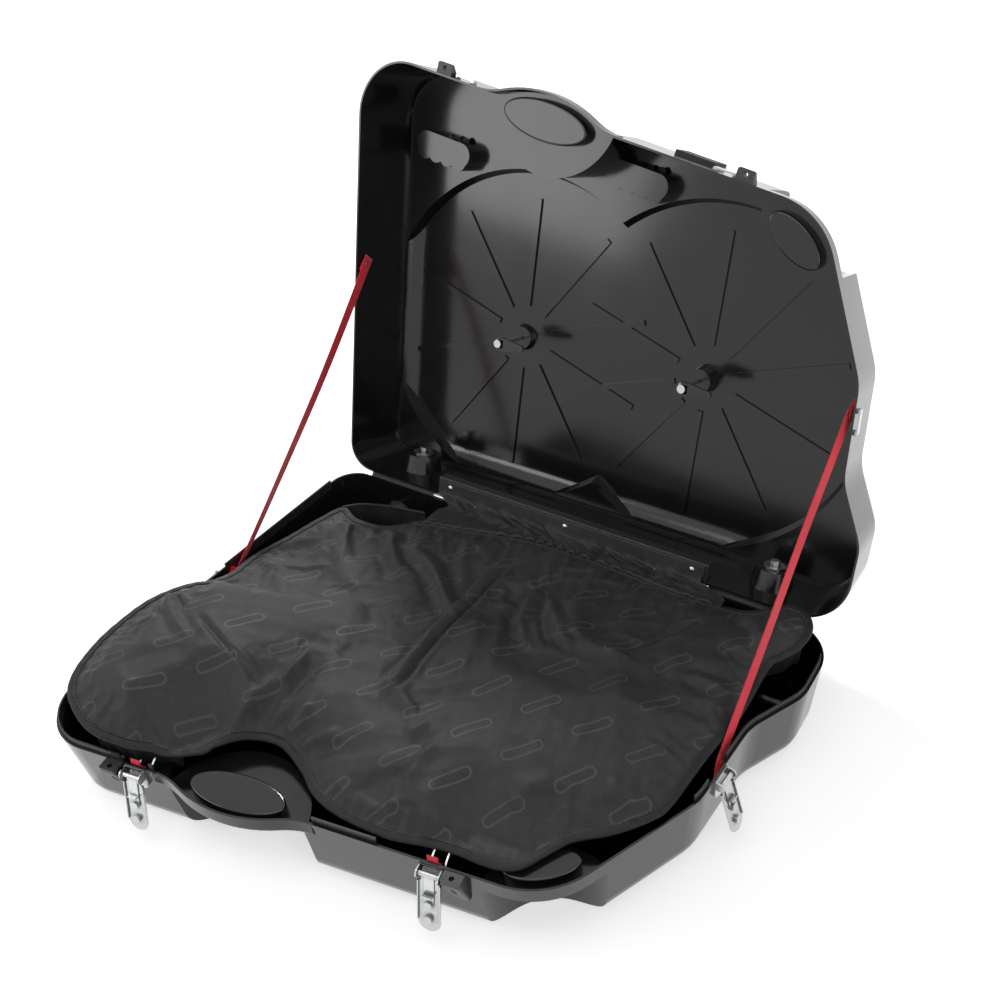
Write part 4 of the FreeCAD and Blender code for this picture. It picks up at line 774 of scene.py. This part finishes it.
def stitches(material):
    """Row of thread stitches along the binding's inner edge."""
    line = hem_frame(2 * HEM_HALF - 6.5)
    line[:, 2] += HEM_THICK - 1.2
    far = run_length(line)
    verts, faces = [], []
    for at in np.arange(0, far[-1], STITCH_PITCH):
        places = np.minimum((at, at + STITCH_LONG / 2, at + STITCH_LONG), far[-1])
        ends = np.stack([np.interp(places, far, line[:, k]) for k in range(3)], 1)
        along = ends[2] - ends[0]
        size = np.linalg.norm(along)
        if size < 1.0:
            continue
        along /= size
        flat = np.cross(along, (0, 0, 1.0))
        flat /= np.linalg.norm(flat)
        tall = np.cross(flat, along)
        rings = [(ends[0] - 0.5 * tall, 0.45), (ends[1] + 0.4 * tall, 0.75), (ends[2] - 0.5 * tall, 0.45)]
        add_stitch(verts, faces, rings, flat, tall)
    return mesh_piece("hem_stitches", verts, faces, material)


# Soft pieces between the cover and the shells, in millimetres, with their thickness in metres
# Flap: first hem point of its seam, half width at the rail, furthest back of the seam; its way from the seam,
# over the hinge with its share of the seam's width, and along the rail of the closed lid
FLAP_FIRST = 50
FLAP_TOP = 322.0
FLAP_BACK = 386.0
FLAP_SEAM = [(-6, 2), (1, 7), (6, -3)]
FLAP_HINGE = [(1.0, 396, 184), (0.98, 411, 182), (0.97, 425, 184.5)]
FLAP_RAIL = [(431, 179.8), (421, 181.4), (410, 182.2), (397, 182.6)]
FLAP_COLUMNS, FLAP_ROWS = 300, 30
FLAP_THICK = 0.0018
# Gathers of the flap at its seam, up and sideways, bulge of its face, and creases between, back and up
GATHER_UP, GATHER_SIDE = 5.6, 2.5
FACE_BULGE = 5.0
CREASE_BACK, CREASE_UP = 1.6, 1.5
# Pocket's wall: upper edge with its height over the rim, drop, radius of its bound edge
LINING_TOP = [(-484, 300, 11), (-452, 330, 9), (-404, 352, 6), (-355, 362, 7), (-306, 366, 12)]
LINING_COLUMNS, LINING_ROWS = 70, 12
LINING_DROP = 95.0
LINING_THICK = 0.0016
LINING_EDGE = 3.4
# Skirt: where the hinge side without it starts, hem height from which it hangs to its foot, drop elsewhere
SKIRT_ROWS = 7
SKIRT_BACK, SKIRT_RIGHT = 325.0, 400.0
SKIRT_HIGH = 18.0
SKIRT_FOOT = -28.0
SKIRT_SHORT = 15.0
SKIRT_THICK = 0.0014


def flap_sheet(material):
    """Gathered flap from the cover's back seam over the hinge to the lid's rail."""
    back = smooth_path([(x, y) for x, y, _ in COVER_HEM[FLAP_FIRST:] + COVER_HEM[:1]], FLAP_COLUMNS)
    far, near = hem_distance(back)
    seam = RIM_MM + cover_height(back, far, near)
    t = np.linspace(0, 1, FLAP_ROWS)
    seam_pull = np.exp(-((t - 0.06) / 0.13) ** 2)
    held = np.clip((t - 0.08) / 0.15, 0, 1) * np.clip((0.86 - t) / 0.15, 0, 1)
    face = np.clip((t - 0.45) / 0.12, 0, 1) * np.clip((0.84 - t) / 0.2, 0, 1)
    verts, uvs = [], []
    for i, ((x, y), z) in enumerate(zip(back, seam)):
        share = i / (FLAP_COLUMNS - 1)
        top_x = FLAP_TOP * (1 - 2 * share)
        rail = [tuple(lid_open(mm(top_x, a, b)) * 1000) for a, b in FLAP_RAIL]
        y = min(y, FLAP_BACK)
        path = [(x, y + a, z + b) for a, b in FLAP_SEAM] + [(x * k, a, b) for k, a, b in FLAP_HINGE]
        row = smooth_path(path + rail, FLAP_ROWS)
        along = back[i, 0]
        gather = np.sin(along / 4.6 + 2.2 * np.sin(along / 37)) * (0.6 + 0.4 * np.sin(along / 71 + 1))
        soft = np.sin(along / 9.5 + 1.4 * np.sin(along / 53) + 0.8)
        creases = np.sin(along / 11 + 7 * t + 1.7 * np.sin(along / 41 + 3 * t))
        creases += 0.7 * np.sin(along / 6.1 - 11 * t + 2.1 * np.sin(along / 27 - 5 * t))
        creases += 0.6 * np.sin(along / 23 + 16 * t + 1.2 * np.sin(along / 17))
        row[:, 2] += GATHER_UP * gather * seam_pull + CREASE_UP * creases * held
        row[:, 1] -= FACE_BULGE * (0.6 + 0.4 * soft + 0.5 * gather) * face + CREASE_BACK * creases * held
        row[:, 0] += GATHER_SIDE * gather * seam_pull
        verts.extend(row / 1000)
        uvs.extend((along / 1000, 0.12 * k) for k in t)
    obj = mesh_piece("cover_flap", verts, grid_faces(FLAP_COLUMNS, FLAP_ROWS), material, uvs)
    thicken(obj, FLAP_THICK)
    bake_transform(obj)
    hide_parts("dust_flap")


def tube(name, line, radius, material, body, sides=10):
    """A closed tube along a line in millimetres."""
    along = unit(np.gradient(line, axis=0))
    side = unit(np.cross(along, (0.0, 0.0, 1.0)))
    up = np.cross(side, along)
    turns = np.linspace(0, 2 * math.pi, sides, endpoint=False)
    rings = [line + side * radius * math.cos(t) + up * radius * math.sin(t) for t in turns]
    verts = np.stack(rings, 1).reshape(-1, 3) / 1000
    obj = mesh_piece(name, verts, capped_faces(len(line), sides), material)
    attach(obj, body)


def pocket_lining(material):
    """Wall of the cover's pocket at the hinge corner, from its bound edge down into the base."""
    top = smooth_path(LINING_TOP, LINING_COLUMNS)
    verts = []
    for i, (x, y, h) in enumerate(top):
        ripple = math.sin(i / 3.1 + 1.3 * math.sin(i / 11))
        for t in np.linspace(0, 1, LINING_ROWS):
            sway = 2.4 * ripple * math.sin(math.pi * min(1, t + 0.12))
            verts.append(mm(x + 10 * t, y - 16 * t + sway, RIM_MM + h - LINING_DROP * t))
    obj = mesh_piece("pocket_lining", verts, grid_faces(LINING_COLUMNS, LINING_ROWS), material)
    thicken(obj, LINING_THICK, levels=1)
    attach(obj, "base")
    tube("pocket_binding", top + np.array([0, 0, RIM_MM]), LINING_EDGE, material, "base")


def skirt_sheet(material):
    """Side cloth of the cover, hanging in from its hem into the base all round but the hinge side."""
    keep = [i for i, (x, y, _) in enumerate(HEM_LINE) if not (y > SKIRT_BACK and x < SKIRT_RIGHT)]
    verts = []
    for i in keep:
        at, h = HEM_AT[i], HEM_LINE[i, 2]
        low = SKIRT_FOOT if h >= SKIRT_HIGH else h - SKIRT_SHORT
        ripple = 2.6 * math.sin(at / 6.4 + 1.7 * math.sin(at / 43)) + 1.6 * math.sin(at / 15)
        for t in np.linspace(0, 1, SKIRT_ROWS):
            p = HEM_LINE[i, :2] + HEM_IN[i] * (8 + 9 * t + ripple * t)
            verts.append(mm(p[0], p[1], RIM_MM + (h - 2) * (1 - t) + low * t))
    obj = mesh_piece("cover_skirt", verts, grid_faces(len(keep), SKIRT_ROWS), material)
    thicken(obj, SKIRT_THICK)
    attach(obj, "base")


# Webbing, in millimetres: raised edge, size, sag, twist at both ends, bow clear of the closed lid
SELVEDGE = 2.2
STAY_WIDE, STAY_THICK = 25.0, 1.6
STAY_SAG = 3.0
STAY_TURN = {"left": (0.46, 0.02), "right": (-0.24, -0.22)}
STAY_BOW = {"left": 8.0, "right": 2.0}
STAY_POINTS = 110
# Ends of the stays: length that moves with its shell, turned under, and the sewn box on it
TURN_LENGTH, TURN_POINTS = 36.0, 14
TURN_WIDE, TURN_THICK = 24.6, 1.4
SEW_START = 32.0
SEW_LONG, SEW_HALF = 26.0, 8.0
SEW_PITCH = 3.2


def ribbon(name, line, across, width, thick, material):
    """Webbing along a line in millimetres: across gives its width direction at each point."""
    along = unit(np.gradient(line, axis=0))
    across = unit(across - along * (across * along).sum(1)[:, None])
    up = np.cross(along, across)
    w, h = width / 2, thick / 2
    upper = [(-w + 0.25 * thick, h * 1.12), (-w + SELVEDGE, h), (-w / 3, h), (w / 3, h), (w - SELVEDGE, h),
             (w - 0.25 * thick, h * 1.12)]
    section = [(-w, 0)] + upper + [(w, 0)] + [(a, -b) for a, b in reversed(upper)]
    far = run_length(line)
    verts = np.stack([line + across * a + up * b for a, b in section], 1).reshape(-1, 3) / 1000
    uvs = [((a + w) / 1000, f / 1000) for f in far for a, _ in section]
    obj = mesh_piece(name, verts, capped_faces(len(line), len(section)), material, uvs)
    return obj


def stay(side, material):
    """Webbing stay in place of its straight solid: a little slack, ends turned under and sewn."""
    node = "stay_strap_" + side
    p = np.array([v.co for v in NODES[node].data.vertices]) * 1000
    middle = (p.min(0) + p.max(0)) / 2
    axes = np.linalg.svd(p - p.mean(0), full_matrices=False)[2]
    along = axes[0] * np.sign(axes[0][2])
    thin = axes[2] * (1 if (axes[2] @ -middle) > 0 else -1)
    wide = np.cross(thin, along)
    reach = np.abs((p - middle) @ along).max()
    t = np.linspace(-1, 1, STAY_POINTS)
    slack = 1 - t ** 2
    ends = np.clip((1 - np.abs(t)) / 0.10, 0, 1)
    low, high = STAY_TURN[side]
    turn = (low + (high - low) * (t + 1) / 2) * ends * ends * (3 - 2 * ends)
    across = np.outer(np.cos(turn), wide) + np.outer(np.sin(turn), thin)
    bow = (0.7 * np.sin(t * 5) + STAY_BOW[side]) * slack + STAY_WIDE / 2 * np.abs(np.sin(turn))
    line = middle + np.outer(t * reach, along) + np.outer(bow, thin)
    line += np.outer(STAY_SAG * slack, (0, 0, -1.0))
    obj = ribbon(node + "_webbing", line, across, STAY_WIDE, STAY_THICK, material)
    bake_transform(obj)
    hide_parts(node)
    for way, body in ((-1, "base"), (1, "lid")):
        foot = middle + along * way * reach
        d = np.linspace(0, TURN_LENGTH, TURN_POINTS)
        under = foot - np.outer(d, along * way) - np.outer(1.7 - 0.9 * np.maximum(0, 1 - d / 3), thin)
        fold = ribbon("%s_turn_%s" % (node, body), under, np.tile(wide, (TURN_POINTS, 1)), TURN_WIDE,
                      TURN_THICK, material)
        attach(fold, body)
        sew(node + "_sewing_" + body, foot - along * way * SEW_START, along * way, wide, thin, body)


def sew(name, at, along, wide, thin, body):
    """Box of stitches with a cross on the webbing, in its own thread."""
    corners = [(0, -SEW_HALF), (0, SEW_HALF), (SEW_LONG, SEW_HALF), (SEW_LONG, -SEW_HALF)]
    box = [(corners[i], corners[(i + 1) % 4]) for i in range(4)]
    cross = [(corners[0], corners[2]), (corners[1], corners[3])]
    verts, faces = [], []
    for (a0, b0), (a1, b1) in box + cross:
        length = math.hypot(a1 - a0, b1 - b0)
        count = int(length / SEW_PITCH)
        d = (along * (a1 - a0) + wide * (b1 - b0)) / length
        flat = np.cross(d, thin)
        for k in range(count):
            mid = at + along * a0 + wide * b0 + d * (k + 0.5) * length / count + thin * 0.95
            add_stitch(verts, faces, [(mid - 1.2 * d, 0.3), (mid, 0.45), (mid + 1.2 * d, 0.3)], flat, thin)
    obj = mesh_piece(name, verts, faces, THREAD)
    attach(obj, body)


# Rubber strips beside the hinge: radius round its line, arc at rest, ends along it
SEAL_RADIUS = 7.7
SEAL_THICK = 0.0022
SEAL_ARC = (math.radians(-134.5), math.radians(24.9))
SEAL_SPANS = {"left": (-516.0, -334.0), "right": (334.0, 516.0)}
SEAL_COLUMNS, SEAL_ROWS = 30, 15


def seal_point(x, turn):
    """A point of the seal, in metres."""
    y, z = mm(SEAL_RADIUS * math.cos(turn), SEAL_RADIUS * math.sin(turn))
    return x / 1000, HINGE.y + y, HINGE.z + z


def hinge_seal(side, material):
    """Rubber strip round the hinge line where the hinge has ended, from the base's wall to the lid's."""
    verts = [seal_point(x, turn) for x in np.linspace(*SEAL_SPANS[side], SEAL_COLUMNS)
             for turn in np.linspace(*SEAL_ARC, SEAL_ROWS)]
    obj = mesh_piece("hinge_seal_" + side, verts, grid_faces(SEAL_COLUMNS, SEAL_ROWS), material)
    thicken(obj, SEAL_THICK)
    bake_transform(obj)


# Painted shade of the finger hollows of the lid's carry grips, in the closed lid: middles of the grips, top
# of their blisters
CARRY_GRIPS = {"left": (-470.0, -285.0), "right": (-5.0, -293.0)}
BLISTER_TOP = 327.0
FINGER_COUNT, FINGER_STEP = 4, 25.0
FINGER_RADIUS, FINGER_DEEP = 9.5, 2.0
FINGER_OFF = 20.0
FINGER_RINGS, FINGER_SIDES = 6, 20


def finger_scallop_shades(side, material):
    """Four dark dished pieces of painted shade in the finger hollows along the carry grip's upper edge on the
    inside of the lid.
    """
    x0, y0 = CARRY_GRIPS[side]
    verts, faces = [], []
    for k in range(FINGER_COUNT):
        x, y = x0 + (k - (FINGER_COUNT - 1) / 2) * FINGER_STEP, y0 - FINGER_OFF
        first = len(verts)
        for lift in np.linspace(0, math.pi / 2, FINGER_RINGS + 1):
            radius = FINGER_RADIUS * math.cos(lift)
            z = BLISTER_TOP + FINGER_DEEP / 2 - FINGER_DEEP * math.sin(lift)
            for a in np.linspace(0, 2 * math.pi, FINGER_SIDES, endpoint=False):
                verts.append(lid_open(mm(x + radius * math.cos(a), y + radius * math.sin(a), z)))
        faces += [tuple(first + i for i in f) for f in grid_faces(FINGER_RINGS + 1, FINGER_SIDES, True)]
        faces.append(tuple(first + FINGER_RINGS * FINGER_SIDES + j for j in range(FINGER_SIDES)))
    # Painted shade: dark dishes that stand in for the shade inside the finger hollows.
    obj = mesh_piece("finger_scallop_shades_" + side, verts, faces, material)
    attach(obj, "lid")


# Webbing loops inside the front wall: its corner and directions, places along it, way of the webbing
FRONT_START = np.array((-608.0, -468.0, RIM_MM))
FRONT_RUN = np.array((1019.0, 161.0, 0.0))
FRONT_ALONG = FRONT_RUN / np.linalg.norm(FRONT_RUN)
FRONT_OUT = np.array((FRONT_ALONG[1], -FRONT_ALONG[0], 0.0))
LOOPS = {"front_left": 254.0, "front_right": 834.0}
LOOP_PATH = [(-8.2, 9), (-6.6, 1), (-6.0, -6), (-7.4, -20), (-8.6, -30), (-9.6, -33.4), (-11.6, -34.4),
             (-13.6, -33.2), (-14.6, -30), (-14.4, -22), (-13.8, -14)]
LOOP_POINTS = 40
LOOP_WIDE, LOOP_THICK = 20.0, 1.5


def loop_webbing(side, material):
    """Webbing loop on the inner front wall, turned up round the snap hook's bar."""
    origin = FRONT_START + FRONT_ALONG * LOOPS[side]
    path = [tuple(origin + FRONT_OUT * out + np.array((0, 0, up))) for out, up in LOOP_PATH]
    line = smooth_path(path, LOOP_POINTS)
    across = np.tile(FRONT_ALONG, (LOOP_POINTS, 1))
    obj = ribbon("cover_loop_%s_webbing" % side, line, across, LOOP_WIDE, LOOP_THICK, material)
    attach(obj, "base")
    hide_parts("cover_loop_" + side)


QUILT = cover_mesh(FABRIC)
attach(QUILT, "base")
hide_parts("padded_cover")
for piece in (binding(BINDING), stitches(THREAD_BLACK)):
    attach(piece, "base")
skirt_sheet(LINING)
pocket_lining(LINING)
flap_sheet(FLAP)
for side in ("left", "right"):
    stay(side, RED)
    hinge_seal(side, RUBBER)
    finger_scallop_shades(side, PAINTED_HOLLOW_SHADE)
for side in LOOPS:
    loop_webbing(side, RED)

# Stage, light and camera: floor's level at two distances from its middle, sky as light and as seen
FLOOR_SIZE = 14.0
FLOOR_UNDER = 0.0005
FLOOR_NEAR, FLOOR_FAR = (1.3, 0.56), (2.8, 0.72)
SKY_LIGHT, SKY_SEEN = 0.36, 1.0
# Lamps: name, place, aim, size, power
LAMPS = [
    ("key", (-1.89, 2.58, 2.80), (0.0, 0.1, 0.3), (0.45, 0.45), 90),
    ("front", (-1.9, -1.6, 1.65), (-0.2, 0.6, 0.6), (1.4, 1.0), 16),
    ("side", (2.8, -0.6, 1.7), (0.0, 0.1, 0.4), (1.4, 1.8), 16),
    ("top", (0.2, -0.9, 3.2), (0.0, 0.0, 0.3), (2.4, 1.2), 14),
]


def seen_rays(tree):
    """1 for rays that show a surface, straight, mirrored or through glass, and 0 for its light on others."""
    rays = add(tree, "LightPath").outputs
    seen = math_node(tree, "MAXIMUM", rays["Is Camera Ray"], rays["Is Glossy Ray"])
    return math_node(tree, "MAXIMUM", seen, rays["Is Transmission Ray"])


def stage_floor():
    """Pale floor that goes over to white away from the case."""
    mesh = bpy.data.meshes.new("floor")
    h = FLOOR_SIZE / 2
    mesh.from_pydata([(-h, -h, 0), (h, -h, 0), (h, h, 0), (-h, h, 0)], [], [(0, 1, 2, 3)])
    floor = bpy.data.objects.new("floor", mesh)
    floor.location.z = -FLOOR_UNDER
    SCENE.collection.objects.link(floor)
    m, t, s = new_material("floor_pale", Roughness=0.9, Specular_IOR_Level=0.1)
    s.inputs["Base Color"].default_value = (0.82, 0.82, 0.82, 1)
    s.inputs["Emission Color"].default_value = (1, 1, 1, 1)
    away = add(t, "VectorMath", {0: coordinates(t)}, operation="LENGTH").outputs["Value"]
    level = remap(t, away, FLOOR_NEAR[0], FLOOR_FAR[0], FLOOR_NEAR[1], FLOOR_FAR[1])
    t.links.new(math_node(t, "MULTIPLY", seen_rays(t), level), s.inputs["Emission Strength"])
    mesh.materials.append(m)


def world_light():
    """Even white light, and a white background where it is seen."""
    world = bpy.data.worlds.new("studio")
    world.use_nodes = True
    t = world.node_tree
    back = t.nodes["Background"]
    level = remap(t, seen_rays(t), 0.0, 1.0, SKY_LIGHT, SKY_SEEN)
    t.links.new(level, back.inputs["Strength"])
    back.inputs["Color"].default_value = (1, 1, 1, 1)
    SCENE.world = world


def area_light(name, at, to, size, power):
    """A soft rectangular lamp."""
    data = bpy.data.lights.new(name, "AREA")
    data.shape = "RECTANGLE"
    data.size, data.size_y = size
    data.energy = power
    light = bpy.data.objects.new(name, data)
    light.location = at
    light.rotation_mode = "QUATERNION"
    light.rotation_quaternion = (Vector(to) - Vector(at)).to_track_quat("-Z", "Y")
    SCENE.collection.objects.link(light)


def photo_camera():
    """Camera with the photograph's place, angles and field of view."""
    cy, sy = math.cos(CAMERA_YAW), math.sin(CAMERA_YAW)
    cp, sp = math.cos(CAMERA_PITCH), math.sin(CAMERA_PITCH)
    ahead = Vector((-sy * cp, cy * cp, -sp))
    right = Vector((cy, sy, 0.0))
    down = ahead.cross(right)
    c, s = math.cos(CAMERA_ROLL), math.sin(CAMERA_ROLL)
    right, down = c * right + s * down, -s * right + c * down
    data = bpy.data.cameras.new("photo")
    data.sensor_width = SENSOR
    data.lens = SENSOR * CAMERA_FOCAL
    data.shift_x, data.shift_y = CAMERA_SHIFT
    data.clip_end = 60.0
    cam = bpy.data.objects.new("photo", data)
    cam.matrix_world = Matrix.Translation(CAMERA_AT) @ Matrix((right, -down, -ahead)).transposed().to_4x4()
    SCENE.collection.objects.link(cam)
    SCENE.camera = cam


stage_floor()
world_light()
for lamp in LAMPS:
    area_light(*lamp)
photo_camera()
